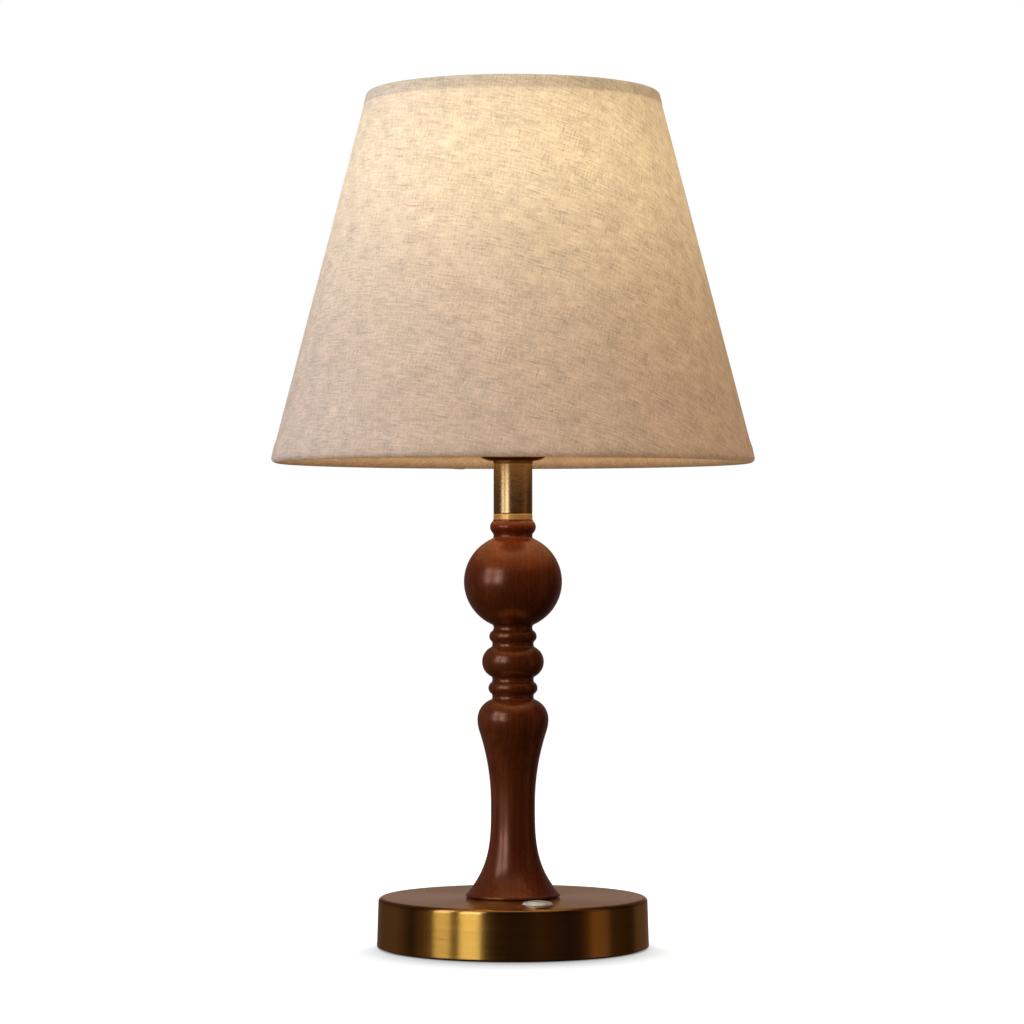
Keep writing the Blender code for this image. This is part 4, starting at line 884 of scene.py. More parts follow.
HUB_R = 0.0102
HUB_H = 0.0014
HUB_COLLAR_R = 0.0075
HUB_COLLAR_H = 0.0045
CAP_WALL = 0.001
DOME_H = 0.0085
dome_z = cap_low + HUB_H + DOME_H
outer = arc_points((HUB_R, dome_z), (cap_r - HUB_R, DOME_H), 0.0, -90.0, 24)
inner = arc_points((HUB_R, dome_z), (cap_r - HUB_R - CAP_WALL, DOME_H - CAP_WALL), -90.0, 0.0, 16)
hub_top = cap_low + HUB_H + HUB_COLLAR_H
floor_z = cap_low + HUB_H + CAP_WALL
line = np.concatenate([
    rounded([(cap_r, cap_top, 0.0004), (cap_r, dome_z + 0.001), (cap_r - CAP_WALL, cap_top)], 4)[:5], outer,
    rounded([(HUB_R, cap_low + HUB_H), (HUB_R, cap_low, 0.0003), (BORE_R, cap_low)], 3)[1:],
    [(BORE_R, hub_top), (HUB_COLLAR_R, hub_top), (HUB_COLLAR_R, floor_z)], inner[1:],
    [(cap_r - CAP_WALL, cap_top)],
])
keep_turned("lampholder_cap", line, 96, CAP_SHADED_BRASS, "brushed_brass", "holder_cap")
print("neck from", mm(ferrule_low), "to", mm(cap_top), "mm")

# %% [markdown]
# The push switch is a bought part: a bezel like a shallow funnel, with a sloping lip on a flared foot, and a cap
# that sits in it. Both are chrome plated. The metal gets a low roughness and a pale cream share of plain colour,
# which is painted reflection, standing in for the bright light that the chrome shows. The cap rides on its own
# body, because it is what a finger presses.

# %% Switch
group, have, give = new_group(
    "fine_wear",
    [("Place", "Vector", None), ("Grain", "Float", 900.0)],
    [("Specks", "Float"), ("Clouds", "Float")],
)
WEAR = group
group.join(group.noise(have["Place"], have["Grain"], detail=3.0, roughness=0.6), give["Specks"])
cloud_scale = group.times(have["Grain"], 0.09)
group.join(group.noise(have["Place"], cloud_scale, detail=2.0), give["Clouds"])


def plain_finish(name, dark, light, roughness, relief, grain=900.0, spread=0.12, **plain):
    """A finish without direction: colour, roughness and bump vary with fine specks and soft clouds."""
    made, w, into = new_material(name, **plain)
    wear = use_group(w, WEAR, {"Place": object_place(w), "Grain": grain})
    blend = w.mix(0.5, wear["Specks"], wear["Clouds"])
    w.join(w.mix(w.remap(blend, 0.35, 0.65), dark, light), into["Base Color"])
    w.join(w.remap(wear["Clouds"], 0.3, 0.7, roughness, roughness + spread), into["Roughness"])
    w.join(bump(w, wear["Specks"], relief), into["Normal"])
    return made


# painted reflection: a pale cream plain colour, let in by the low Metallic, stands for the chrome's bright reflections
CHROME_PAINTED_REFLECTION = plain_finish("polished_chrome", (0.95, 0.86, 0.73), (0.99, 0.91, 0.80), 0.16, 0.000002, 1400.0, 0.06,
                      Metallic=0.42)
bezel_r, bezel_low, bezel_top = node_place("switch_bezel")
BEZEL_H = 0.0023
BEZEL_FOOT_R = 0.0059
BEZEL_NECK_R = 0.0063
BEZEL_NECK_H = 0.0011
BARREL_R = 0.0049
BARREL_BORE_R = 0.0034
RECESS_R = 0.0050
RECESS_H = 0.0019
LIP_FALL = 0.0011
LIP_SLOPE = 0.85
rim_low = bezel_top - 0.0012
foot = bezel_top - BEZEL_H
line = rounded([
    (RECESS_R, bezel_top - 0.0008, 0.0002), (RECESS_R + 0.0009, bezel_top, 0.0006),
    (bezel_r - LIP_SLOPE * LIP_FALL, bezel_top, 0.0003), (bezel_r, bezel_top - LIP_FALL, 0.0001),
    (bezel_r - 0.0002, rim_low, 0.0001),
    (BEZEL_NECK_R, foot + BEZEL_NECK_H, 0.0004), (BEZEL_FOOT_R, foot, 0.0001), (BARREL_R, foot),
    (BARREL_R, bezel_low), (BARREL_BORE_R, bezel_low), (BARREL_BORE_R, bezel_top - RECESS_H),
    (RECESS_R, bezel_top - RECESS_H),
], steps=4)
keep_turned("bezel", line, 96, CHROME_PAINTED_REFLECTION, "polished_chrome", "switch_bezel", centre=SWITCH)
cap_button_r, button_low, button_top = node_place("switch_button")
BUTTON_T = 0.0009
PLUNGER_R = 0.0031
DISH = 0.0003
t = np.linspace(0.0, 1.0, 13)[:, None]
dish = np.concatenate([t * (cap_button_r - 2 * DISH), button_top - DISH * (1 - t ** 2)], axis=1)
line = np.concatenate([dish, rounded([
    (cap_button_r, button_top, DISH), (cap_button_r, button_top - BUTTON_T, 0.0002),
    (PLUNGER_R, button_top - BUTTON_T), (PLUNGER_R, button_low),
], steps=4)[:-1], [(PLUNGER_R, button_low), (0.0, button_low)]])
keep_turned("push_button", line, 72, CHROME_PAINTED_REFLECTION, "polished_chrome", "switch_button", "button", closed=False, centre=SWITCH)
print("button top in mm", mm(button_top), "bezel top", mm(bezel_top))

# %% [markdown]
# The cord leaves the back of a base like this through a rubber bush, and the bush stays empty here, because the
# photograph shows no cord. It lies along Y, so the same outline tool is used with the axis laid down. Rubber is
# matte and a little dusty. The felt under the base is a disc with a soft upper edge.

# %% Grommet and felt
RUBBER = plain_finish("black_rubber", (0.018, 0.018, 0.019), (0.034, 0.034, 0.035), 0.62, 0.00002, 1500.0)
lip_r = (grommet_high.x - grommet_low.x) / 2
LIP_T = 0.0018
NECK_R = 0.0046
CORD_BORE_R = 0.0035
outer_y, inner_y = grommet_high.y, grommet_low.y
line = rounded([
    (CORD_BORE_R, outer_y, 0.0006), (lip_r, outer_y, 0.0007), (lip_r, outer_y - LIP_T, 0.0003),
    (NECK_R, outer_y - LIP_T), (NECK_R, inner_y + LIP_T), (lip_r, inner_y + LIP_T, 0.0003),
    (lip_r, inner_y, 0.0005), (CORD_BORE_R, inner_y, 0.0005),
], steps=5)
keep_turned("rubber_bush", line, 72, RUBBER, "black_rubber", "cord_grommet", centre=(0.0, OUTLET_Z), lying=True)

FELT, w, into = new_material("black_felt", Sheen_Weight=0.4, Sheen_Roughness=0.6, Specular_IOR_Level=0.1)
place = object_place(w)
tufts = w.noise(place, 1800.0, detail=4.0, roughness=0.7)
w.join(w.mix(w.remap(tufts, 0.35, 0.65), (0.010, 0.010, 0.011), (0.030, 0.030, 0.032)), into["Base Color"])
w.join(w.remap(tufts, 0.3, 0.7, 0.88, 1.0), into["Roughness"])
w.join(bump(w, tufts, 0.0002), into["Normal"])
felt_r, felt_low, felt_top = node_place("felt_pad")
line = rounded([
    (0.0, felt_top), (felt_r, felt_top, 0.0005), (felt_r, felt_low, 0.0002), (0.0, felt_low),
], steps=4)
keep_turned("felt_disc", line, 160, FELT, "black_felt", "felt_pad", closed=False)
print("bush from", mm(inner_y), "to", mm(outer_y), "mm behind the axis")

# %% [markdown]
# The shade is a cone of linen on a stiff liner, folded over a wire at both rims. Laid flat, such a cone is a
# sector of a ring, and the cloth's threads are straight on that flat sector. So the cloth's map is the sector
# itself: a point at slant distance s from the cone's tip and angle a round the lamp lies at (s cos b, s sin b),
# where b is a times the sine of the cone's half angle. The threads then lean as they do in the photograph, level
# at the left and sloping at the right.

# %% Shade: the cone and its flat sector
SHADE_R = 0.1248
SHADE_TOP_R = 0.0752
SHADE_H = 0.1908
LINEN_T = 0.0006
LINER_T = 0.0005
GAP = 0.0003
WIRE_R = 0.0014
HEM_H = 0.0075
HEM_ROLL_H = 0.0052
HEM_WRAP = 60.0
BAND_H = 0.0082
BAND_PROUD = 0.0003
TOP_BAND_H = 0.0066
TOP_BAND_PROUD = 0.00025
LOW_SINK = 0.00005
SHADE_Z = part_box("shade_cover")[0].z - LOW_SINK
SLOPE = (SHADE_R - SHADE_TOP_R) / SHADE_H
LEAN = math.atan(SLOPE)
HALF_ANGLE_SINE = math.sin(LEAN)
GRAIN_FRONT = math.radians(-67.5)
HEM_R = WIRE_R + GAP + LINEN_T / 2


def wire_centre(top):
    """Where a rim's wire lies, as (radius, height over the lower rim)."""
    outer = HEM_R + LINEN_T / 2
    height = SHADE_H - outer if top else outer
    return SHADE_R - height * SLOPE - outer / math.cos(LEAN), height


def under_face(depth, up):
    """The point that lies depth under the shade's outer face, at height up over the lower rim."""
    return SHADE_R - up * SLOPE - depth / math.cos(LEAN), up


print("cone half angle in degrees", round(math.degrees(LEAN), 2))

# %% [markdown]
# The cloth's section is one long line: from its inner top edge up and over the top wire, down the outer face,
# round the lower wire and up inside again. It is worked out once, and then carried round with small changes that
# hand work leaves: the cone isn't quite round, the cloth stands a little proud where the hems double it, the
# hem's ridge wavers, and inside the lower hem the cloth is notched where the three arms pass.

# %% Shade: cloth
EVEN_COLUMNS = 270
ARM_ANGLES = [math.radians(a) for a in (77.5, 197.5, 317.5)]
NOTCH_HALF = 0.0045


def waver(angle, count, low_turns, high_turns, seed):
    """A sum of sines round the shade with whole numbers of turns, so that it closes, between -1 and 1."""
    draw = np.random.default_rng(seed)
    turns = draw.integers(low_turns, high_turns, count)
    phase = draw.uniform(0.0, 2 * math.pi, count)
    size = draw.uniform(0.4, 1.0, count)
    waves = size[:, None] * np.sin(turns[:, None] * angle[None, :] + phase[:, None])
    return waves.sum(axis=0) / size.sum()


def cloth_section():
    """The cloth's middle line, its normals and its lengths, from the inner top edge to the inner lower edge."""
    (top_r, top_z), (low_r, low_z) = wire_centre(True), wire_centre(False)
    lean = math.degrees(LEAN)
    flap = LINEN_T + GAP + LINER_T + GAP + LINEN_T / 2
    line = np.concatenate([
        [under_face(flap, SHADE_H - HEM_H), under_face(flap, SHADE_H - HEM_ROLL_H)],
        arc_points((top_r, top_z), (HEM_R, HEM_R), lean + 180 + HEM_WRAP, lean, 40),
        arc_points((low_r, low_z), (HEM_R, HEM_R), lean, lean - 180 - HEM_WRAP, 40),
        [under_face(flap, HEM_ROLL_H), under_face(flap, HEM_H)],
    ])
    fine, at = spaced(line, 0.0002)
    tangent = np.gradient(fine, at, axis=0)
    tangent /= np.linalg.norm(tangent, axis=1, keepdims=True)
    return fine, np.stack([-tangent[:, 1], tangent[:, 0]], axis=1), at


section, section_normal, section_at = cloth_section()
print("cloth across the section in mm", mm(section_at[-1]))

# %% [markdown]
# A column of the grid stands at one angle. Most columns are spread evenly, and more of them go where the cloth
# changes quickly: at the three arms and at the seam at the back, where the cone's two straight edges overlap. A
# row lies at one length along the section, with more rows on the two rolls. The notch is made by sliding the
# rows of the inner hem down to the wire, so that the cloth stays one skin with its thickness all over.

# %% Shade: columns, rows and small unevenness
SEAM_ANGLE = math.radians(90.0)
SEAM_WIDE = math.radians(4.2)
SEAM_PROUD = 0.00028
RIPPLE = 0.00016
RIPPLE_POWER = 0.6
ROLL_STEP = 0.00045
WALL_STEP = 0.0042
near = np.radians(np.linspace(-4.0, 4.0, 17))
seam_near = np.radians([0.0, 0.15, 0.35, 0.8, 1.5, 3.2, 3.9, 4.15, 4.3, 4.6])
angles = np.concatenate([
    np.linspace(0.0, 2 * math.pi, EVEN_COLUMNS, endpoint=False),
    *[a + near for a in ARM_ANGLES],
    SEAM_ANGLE + seam_near,
])
angles = np.unique(np.round((angles - SEAM_ANGLE) % (2 * math.pi), 4))
angles = angles[np.concatenate([np.diff(angles) > 0.0009, [True]])] + SEAM_ANGLE


def ripple(angle, up):
    """How far the cone leaves its true round: one waver in the upper half and another in the lower half,
    mixed by height, times sin(pi s)^RIPPLE_POWER at share s of the height, so that both wires stay round."""
    s = np.clip(up / SHADE_H, 0.0, 1.0)
    high = waver(angle, 7, 2, 13, 4)[None, :]
    low = waver(angle, 9, 3, 19, 9)[None, :]
    return RIPPLE * (high * s + low * (1 - s)) * np.sin(math.pi * s) ** RIPPLE_POWER


def eased(value, low, high):
    """The smooth step 3t^2 - 2t^3 of t, which goes from 0 at low to 1 at high."""
    t = np.clip((value - low) / (high - low), 0.0, 1.0)
    return t * t * (3 - 2 * t)


wall = (section[:, 0] > wire_centre(True)[0]) & (section_normal[:, 1] > 0.2) & (section_normal[:, 1] < 0.3)
wall_start, wall_stop = section_at[wall][0], section_at[wall][-1]
total = section_at[-1]
rows_at = np.unique(np.round(np.concatenate([
    np.arange(0.0, wall_start, ROLL_STEP),
    np.linspace(wall_start, wall_start + 0.009, 14),
    np.arange(wall_start + 0.011, wall_stop - 0.011, WALL_STEP),
    np.linspace(wall_stop - 0.0095, wall_stop, 18),
    np.arange(wall_stop, total, ROLL_STEP), [total],
]), 5))
print("cloth columns", len(angles), "rows", len(rows_at), "wall length in mm", mm(wall_stop - wall_start))


# %% Shade: build the cloth
NOTCH_LEFT = 0.03
HEM_FIXED = math.radians(195.0)
BAND_WAVER = 0.05
BAND_FADE = (-0.0006, 0.0009)
RIDGE_PROUD = 0.00013
RIDGE_HALF = 0.0007
LAP_FADE = 0.004
LAP_FLAT = math.radians(1.5)
LAP_EDGE = math.radians(0.3)


def notch_slide(angle):
    """Share of the inner hem that is left at an angle: 1, and NOTCH_LEFT right at an arm."""
    left = np.ones_like(angle)
    for arm in ARM_ANGLES:
        off = np.abs((angle - arm + math.pi) % (2 * math.pi) - math.pi) * SHADE_R
        left = np.minimum(left, NOTCH_LEFT + (1 - NOTCH_LEFT) * eased(off, NOTCH_HALF * 0.5, NOTCH_HALF))
    return left


def cloth_grid(side):
    """The cloth's outer skin (side 1) or inner skin (side -1): section point + normal * (side * half the
    thickness + how proud it stands there), carried round with the ripple."""
    fixed = wall_stop + HEM_R * HEM_FIXED
    at = np.where(
        rows_at[:, None] > fixed,
        fixed + (rows_at[:, None] - fixed) * notch_slide(angles)[None, :],
        rows_at[:, None] * np.ones_like(angles)[None, :],
    )
    r, z = (np.interp(at, section_at, section[:, k]) for k in range(2))
    nr, nz = (np.interp(at, section_at, section_normal[:, k]) for k in range(2))
    over = z - BAND_H * (1 + BAND_WAVER * waver(angles, 8, 4, 40, 11))[None, :]
    low_band = BAND_PROUD * (1 - eased(over, *BAND_FADE)) + RIDGE_PROUD * np.exp(-(over / RIDGE_HALF) ** 2)
    low_band *= (at >= wall_start + 0.02) * (1 - eased(at - wall_stop, 0.0, HEM_R * 1.5))
    under = SHADE_H - TOP_BAND_H * (1 + BAND_WAVER * waver(angles, 8, 4, 40, 12))[None, :] - z
    top_band = TOP_BAND_PROUD * (1 - eased(under, *BAND_FADE)) * (at < wall_start + 0.03)
    top_band *= eased(at, wall_start - HEM_R * 1.5, wall_start)
    turn = (angles - SEAM_ANGLE)[None, :]
    lap = SEAM_PROUD * eased(turn, 0.0, LAP_EDGE) * (1 - eased(turn, LAP_FLAT, SEAM_WIDE))
    lap = lap * eased(at, wall_start, wall_start + LAP_FADE) * (1 - eased(at, wall_stop - LAP_FADE, wall_stop))
    proud = side * LINEN_T / 2 + low_band + top_band + lap
    r = r + nr * proud + ripple(angles, z) * (nr > 0)
    z = z + nz * proud
    return carried_round(r, z + SHADE_Z, angles), at


def sector_map(at, columns):
    """The flat sector's place of a length along the section at a turn: (s cos b, s sin b)."""
    slant = (SHADE_TOP_R / HALF_ANGLE_SINE) + (at - wall_start)
    b = (columns[None, :] + math.pi / 2 - GRAIN_FRONT - 2 * math.pi) * HALF_ANGLE_SINE
    return np.stack([slant * np.cos(b), slant * np.sin(b)], axis=2)


outer_skin, outer_at = cloth_grid(1)
inner_skin, inner_at = cloth_grid(-1)
grid = np.concatenate([outer_skin, inner_skin[::-1]])
at = np.concatenate([outer_at, inner_at[::-1]])
at = np.concatenate([at, at[:, :1]], axis=1)
at = np.concatenate([at, at[:1]], axis=0)
flat_place = sector_map(at, np.append(angles, angles[0] + 2 * math.pi))
cloth_mesh = shaded(grid_mesh("linen_shade", grid, flat_place, True), 55.0)
print("cloth faces", len(cloth_mesh.polygons))

# %% [markdown]
# Linen is a plain weave of uneven threads. Its look comes from slubs, short thick stretches of thread, which run
# along both directions of the cloth. A thread is about half a millimetre, so from here a slub reads as a fine
# dark or pale dash. Noise that is squeezed across the thread and drawn out along it gives the dashes, and finer
# and coarser noise breaks them up. A regular over and under of the threads is added in the bump, for close views.

# %% Weave
group, have, give = new_group(
    "linen_weave",
    [("Map", "Vector", None), ("Threads per metre", "Float", 1750.0)],
    [("Height", "Float"), ("Slubs", "Float"), ("Dashes", "Float"), ("Clouds", "Float")],
)
WEAVE = group


def thread_noise(scale, seed):
    """Noise at the cloth's own place, with its own scale across and along the threads."""
    return group.noise(group.stretched(have["Map"], scale, shift=seed), 1.0, detail=2.0, roughness=0.55)


ACROSS, ALONG = 1150.0, 120.0
level = thread_noise((ACROSS, ALONG, 1.0), (0.0, 0.0, 0.0))
upright = thread_noise((ALONG * 1.5, ACROSS, 1.0), (5.0, 9.0, 3.0))
grain = thread_noise((ACROSS * 1.2, ACROSS, 1.0), (3.0, 1.0, 6.0))
patches = thread_noise((ALONG, ALONG * 0.75, 1.0), (7.0, 2.0, 2.0))
fine_dashes = group.math("SUBTRACT", group.math("MULTIPLY_ADD", upright, 0.75, level), 0.875)
own = group.math("MULTIPLY_ADD", grain, 0.9, group.times(patches, 0.55))
group.join(group.math("ADD", fine_dashes, group.math("SUBTRACT", own, 0.725)), give["Dashes"])
long_level = thread_noise((ACROSS * 0.75, ALONG * 0.55, 1.0), (2.0, 4.0, 7.0))
long_upright = thread_noise((ALONG * 0.85, ACROSS * 0.7, 1.0), (8.0, 1.0, 11.0))
fleck = group.remap(thread_noise((ACROSS * 0.60, ACROSS * 0.42, 1.0), (4.0, 4.0, 1.0)), 0.67, 0.76)
slub = group.math("MAXIMUM", group.remap(long_level, 0.60, 0.72), group.remap(long_upright, 0.63, 0.76))
slub = group.times(slub, group.remap(group.noise(have["Map"], 70.0, detail=1.0), 0.40, 0.60))
slub = group.math("MAXIMUM", slub, fleck)
group.join(slub, give["Slubs"])
parts = group.split(have["Map"])
turns = group.times(have["Threads per metre"], math.pi)
over = group.math("SINE", group.times(parts["X"], turns))
under = group.math("SINE", group.times(parts["Y"], turns))
weave = group.math("ABSOLUTE", group.times(over, under))
height = group.math("ADD", group.times(weave, 0.30), fine_dashes)
group.join(group.math("MULTIPLY_ADD", slub, 0.8, height), give["Height"])
group.join(group.noise(have["Map"], 42.0, detail=3.0, roughness=0.62), give["Clouds"])
print("weave group", WEAVE.tree.name)

# %% [markdown]
# The bulb is lit, so the cloth glows. A glow is what is left of the lamp's light after the liner and the cloth,
# and it falls off with the distance d from the bulb's bright part. With a reach h, at which the share is 1, the
# share (h / d)^p follows both the spread and the slant of the light, and a power p of 2.6 fits the photograph. It
# is drawn as the cloth's own emission. Less light comes through where the hems double the cloth, and less falls on
# faces that look inwards. Thick threads and slubs darken the glow, and thin places let more of it through.

# %% Linen and liner
GLOW_FORWARD = 0.010
GLOW_CENTRE = (GLOW_FORWARD * towards_camera[0], GLOW_FORWARD * towards_camera[1], 0.388)
GLOW_POWER = 2.6
GLOW_REACH = 0.0861
GLOW_LOW = (0.236, 0.103, 0.043)
GLOW_HIGH = (0.354, 0.290, 0.153)
THREAD_DARK = (0.412, 0.356, 0.292)
THREAD_LIGHT = (0.632, 0.566, 0.494)
SLUB_TONE = (0.270, 0.205, 0.145)
CLOUD_TONE = (0.420, 0.345, 0.265)
DASH_SPAN = (-0.45, 0.45)
THREAD_GLOW = (0.53, 1.47)
SLUB_GLOW = (1.0, 0.60)
CLOUD_GLOW = (1.05, 0.94)
BAND_GLOW = 0.64
ROLL_GLOW = 0.80
INWARD_GLOW = 0.76
LINER_GLOW_HIGH = (0.52, 0.35, 0.16)
LINER_GLOW_LOW = (0.125, 0.064, 0.020)


def glow_share(w, place):
    """(GLOW_REACH / d)^GLOW_POWER at a place, where d is its distance from GLOW_CENTRE."""
    away = w.vector("LENGTH", w.vector("SUBTRACT", place, GLOW_CENTRE))
    return w.math("POWER", w.math("DIVIDE", GLOW_REACH, away), GLOW_POWER)


def tinted(w, colour, share):
    """A colour times a share."""
    return w.vector("SCALE", colour, scale=share)


LINEN, w, into = new_material("linen", Roughness=0.92, Specular_IOR_Level=0.12, Sheen_Weight=0.12,
                              Sheen_Roughness=0.5, Emission_Strength=1.0)
place = object_place(w)
cloth_map = w.add("ShaderNodeUVMap", uv_map="surface").outputs[0]
weave = use_group(w, WEAVE, {"Map": cloth_map})
tone = w.mix(w.remap(weave["Dashes"], *DASH_SPAN), THREAD_DARK, THREAD_LIGHT)
tone = w.mix(w.times(weave["Slubs"], 0.45), tone, SLUB_TONE)
tone = w.mix(w.remap(weave["Clouds"], 0.35, 0.68, 0.0, 0.22), tone, CLOUD_TONE)
w.join(tone, into["Base Color"])
share = glow_share(w, place)
glow = w.vector("ADD", w.vector("SCALE", GLOW_HIGH, scale=share), GLOW_LOW)
height_up = w.split(place)["Z"]
band_z = SHADE_Z + SHADE_H - TOP_BAND_H
top_shade = w.remap(height_up, band_z - 0.0006, band_z + 0.0006, 1.0, BAND_GLOW)
low_shade = w.remap(height_up, SHADE_Z + 0.0012, SHADE_Z + 0.0045, ROLL_GLOW, 1.0, smooth=True)
outward = w.vector("NORMALIZE", w.vector("MULTIPLY", place, (1.0, 1.0, 0.0)))
skin = w.add("ShaderNodeNewGeometry").outputs["True Normal"]
in_shade = w.remap(w.vector("DOT_PRODUCT", skin, outward), -0.3, 0.1, INWARD_GLOW, 1.0)
held_back = w.times(w.times(top_shade, low_shade), in_shade)
threads = w.remap(weave["Dashes"], *DASH_SPAN, *THREAD_GLOW)
threads = w.times(threads, w.remap(weave["Slubs"], 0.0, 1.0, *SLUB_GLOW))
threads = w.times(threads, w.remap(weave["Clouds"], 0.32, 0.68, *CLOUD_GLOW))
w.join(tinted(w, glow, w.times(held_back, threads)), into["Emission Color"])
w.join(bump(w, weave["Height"], 0.00018, 0.55), into["Normal"])
linen_shade = keep("linen_shade", cloth_mesh, LINEN, ["shade_cover"])

LINER, w, into = new_material("liner_sheet", Roughness=0.5, Emission_Strength=1.0)
place = object_place(w)
share = glow_share(w, place)
wear = use_group(w, WEAR, {"Place": place, "Grain": 160.0})
w.join(w.mix(w.remap(wear["Specks"], 0.3, 0.7), (0.78, 0.72, 0.62), (0.86, 0.81, 0.72)), into["Base Color"])
# painted light: the liner's emission stands for the bulb's light on its inner face, strongest nearest the bulb
inside_glow = w.vector("ADD", w.vector("SCALE", LINER_GLOW_HIGH, scale=share), LINER_GLOW_LOW)
w.join(tinted(w, inside_glow, w.remap(wear["Clouds"], 0.3, 0.7, 0.96, 1.04)), into["Emission Color"])
w.join(bump(w, wear["Specks"], 0.00004), into["Normal"])


def liner_grid(side, columns, rows):
    """The liner's skin: the outer face's line, moved in by the linen, a gap and half its own thickness."""
    up = np.linspace(HEM_ROLL_H, SHADE_H - HEM_ROLL_H, rows)[::-1, None]
    depth = LINEN_T + GAP + LINER_T / 2 - side * LINER_T / 2
    r = SHADE_R - up * SLOPE - depth / math.cos(LEAN) + ripple(columns, up)
    return carried_round(r, up + SHADE_Z, columns)


LINER_COLUMNS, LINER_ROWS = 240, 40
columns = np.linspace(0.0, 2 * math.pi, LINER_COLUMNS, endpoint=False)
liner_points = np.concatenate([liner_grid(1, columns, LINER_ROWS), liner_grid(-1, columns, LINER_ROWS)[::-1]])
keep("liner_sheet", plain_mesh("liner_sheet", liner_points), LINER, ["shade_liner"])
print("linen and liner made")

# %% [markdown]

# %% [markdown]
# The shade hangs on a welded wire frame: a ring in each hem, a flat carrier ring under the bulb, and three
# arms that leave the carrier level and bend down to the lower ring. Wire is a circle carried along a path. Each
# arm stays in one upright plane, so its own level and upright directions are enough to place the circle.

# %% Shade frame
ZINC = plain_finish("zinc_steel", (0.50, 0.50, 0.49), (0.62, 0.62, 0.61), 0.30, 0.000006, 700.0, Metallic=1.0)
ARM_R = 0.0013
ARM_BEND = 3.0
ARM_BITE = 0.0003
ARM_END_SHARE = 0.8
CARRIER_R = 0.030
for name, node, top in (("lower_wire", "shade_lower_wire", False), ("top_wire", "shade_top_wire", True)):
    centre_r, centre_up = wire_centre(top)
    ring = arc_points((centre_r, centre_up + SHADE_Z), (WIRE_R, WIRE_R), 90, -270, 20)[:-1]
    keep_turned(name, ring, 180, ZINC, "zinc_steel", node)
SKIRT_R = 0.0196
carrier_low, carrier_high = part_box("shade_carrier")
line = rounded([
    (CARRIER_R, carrier_high.z, 0.0004), (CARRIER_R, carrier_low.z, 0.0004), (SKIRT_R + GAP, carrier_low.z, 0.0002),
    (SKIRT_R + GAP, carrier_high.z, 0.0002),
], steps=4)
keep_turned("carrier_ring", line, 120, ZINC, "zinc_steel", "shade_carrier")


def arm_mesh(name, angle, steps=56, sides=16):
    """A wire in the upright plane at an angle: at share s, radius r0 + reach s and height z0 - fall s^3."""
    end_r, end_up = wire_centre(False)
    start_z = (carrier_low.z + carrier_high.z) / 2
    start_r = CARRIER_R - ARM_BITE
    reach, fall = end_r - start_r, start_z - SHADE_Z - end_up
    s = np.linspace(0.0, 1.0 - WIRE_R / math.hypot(reach, fall * ARM_BEND), steps)
    r, z = start_r + reach * s, start_z - fall * s ** ARM_BEND
    tr, tz = np.gradient(r), np.gradient(z)
    size = np.hypot(tr, tz)
    tr, tz = tr / size, tz / size
    b = np.linspace(0.0, 2 * math.pi, sides, endpoint=False)[None, :]
    rim = np.full(steps + 4, ARM_R)
    rim[[0, -1]], rim[[1, -2]] = 0.0, ARM_R * ARM_END_SHARE
    pad = [0, 0, *range(steps), steps - 1, steps - 1]
    r, z, tr, tz = (v[pad][:, None] for v in (r, z, tr, tz))
    out = r + rim[:, None] * np.cos(b) * -tz
    up = z + rim[:, None] * np.cos(b) * tr
    side = rim[:, None] * np.sin(b)
    points = np.stack([out * math.cos(angle) + side * math.sin(angle),
                       out * math.sin(angle) - side * math.cos(angle), up], axis=2)
    return plain_mesh(name, points, False)


for k, angle in enumerate(ARM_ANGLES):
    keep(f"arm_wire_{k + 1}", arm_mesh(f"arm_wire_{k + 1}", angle), ZINC, [f"shade_arm_{k + 1}"])
print("frame wires made")

# %% [markdown]
# The lampholder's skirt and the ring nut that clamps the shade are moulded in black plastic. The nut's edge is
# scalloped for the fingers, so its radius goes in and out sixteen times round, and the same outline tool is used
# with that radius. Moulded plastic is even and slightly glossy, with a faint grain.

# %% Skirt and ring nut
PLASTIC = plain_finish("black_plastic", (0.014, 0.014, 0.015), (0.024, 0.024, 0.025), 0.34, 0.000012, 1300.0)
FLANGE_Z = 0.0127
FLANGE_R = 0.026
FLANGE_T = 0.002
TONGUE_H = 0.005
SKIRT_WALL = 0.0024
SKIRT_LIP = 0.0012
skirt_low, skirt_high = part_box("holder_skirt")
skirt_z = skirt_low.z + TONGUE_H
bore_r = SKIRT_R - SKIRT_WALL
tongue_r = cap_r - CAP_WALL - GAP
line = rounded([
    (SKIRT_R, skirt_high.z, SKIRT_LIP * 0.8), (SKIRT_R, skirt_z + FLANGE_Z, 0.0004),
    (FLANGE_R, skirt_z + FLANGE_Z, 0.0005), (FLANGE_R, skirt_z + FLANGE_Z - FLANGE_T, 0.0005),
    (SKIRT_R, skirt_z + FLANGE_Z - FLANGE_T, 0.0006), (SKIRT_R, skirt_z, 0.0002), (tongue_r, skirt_z),
    (tongue_r, skirt_low.z), (bore_r, skirt_low.z), (bore_r, skirt_high.z - 2 * SKIRT_LIP, 0.0004),
    (bore_r - SKIRT_LIP, skirt_high.z - SKIRT_LIP, 0.0002), (bore_r - SKIRT_LIP, skirt_high.z, 0.0002),
], steps=5)
keep_turned("lampholder_skirt", line, 96, PLASTIC, "black_plastic", "holder_skirt")

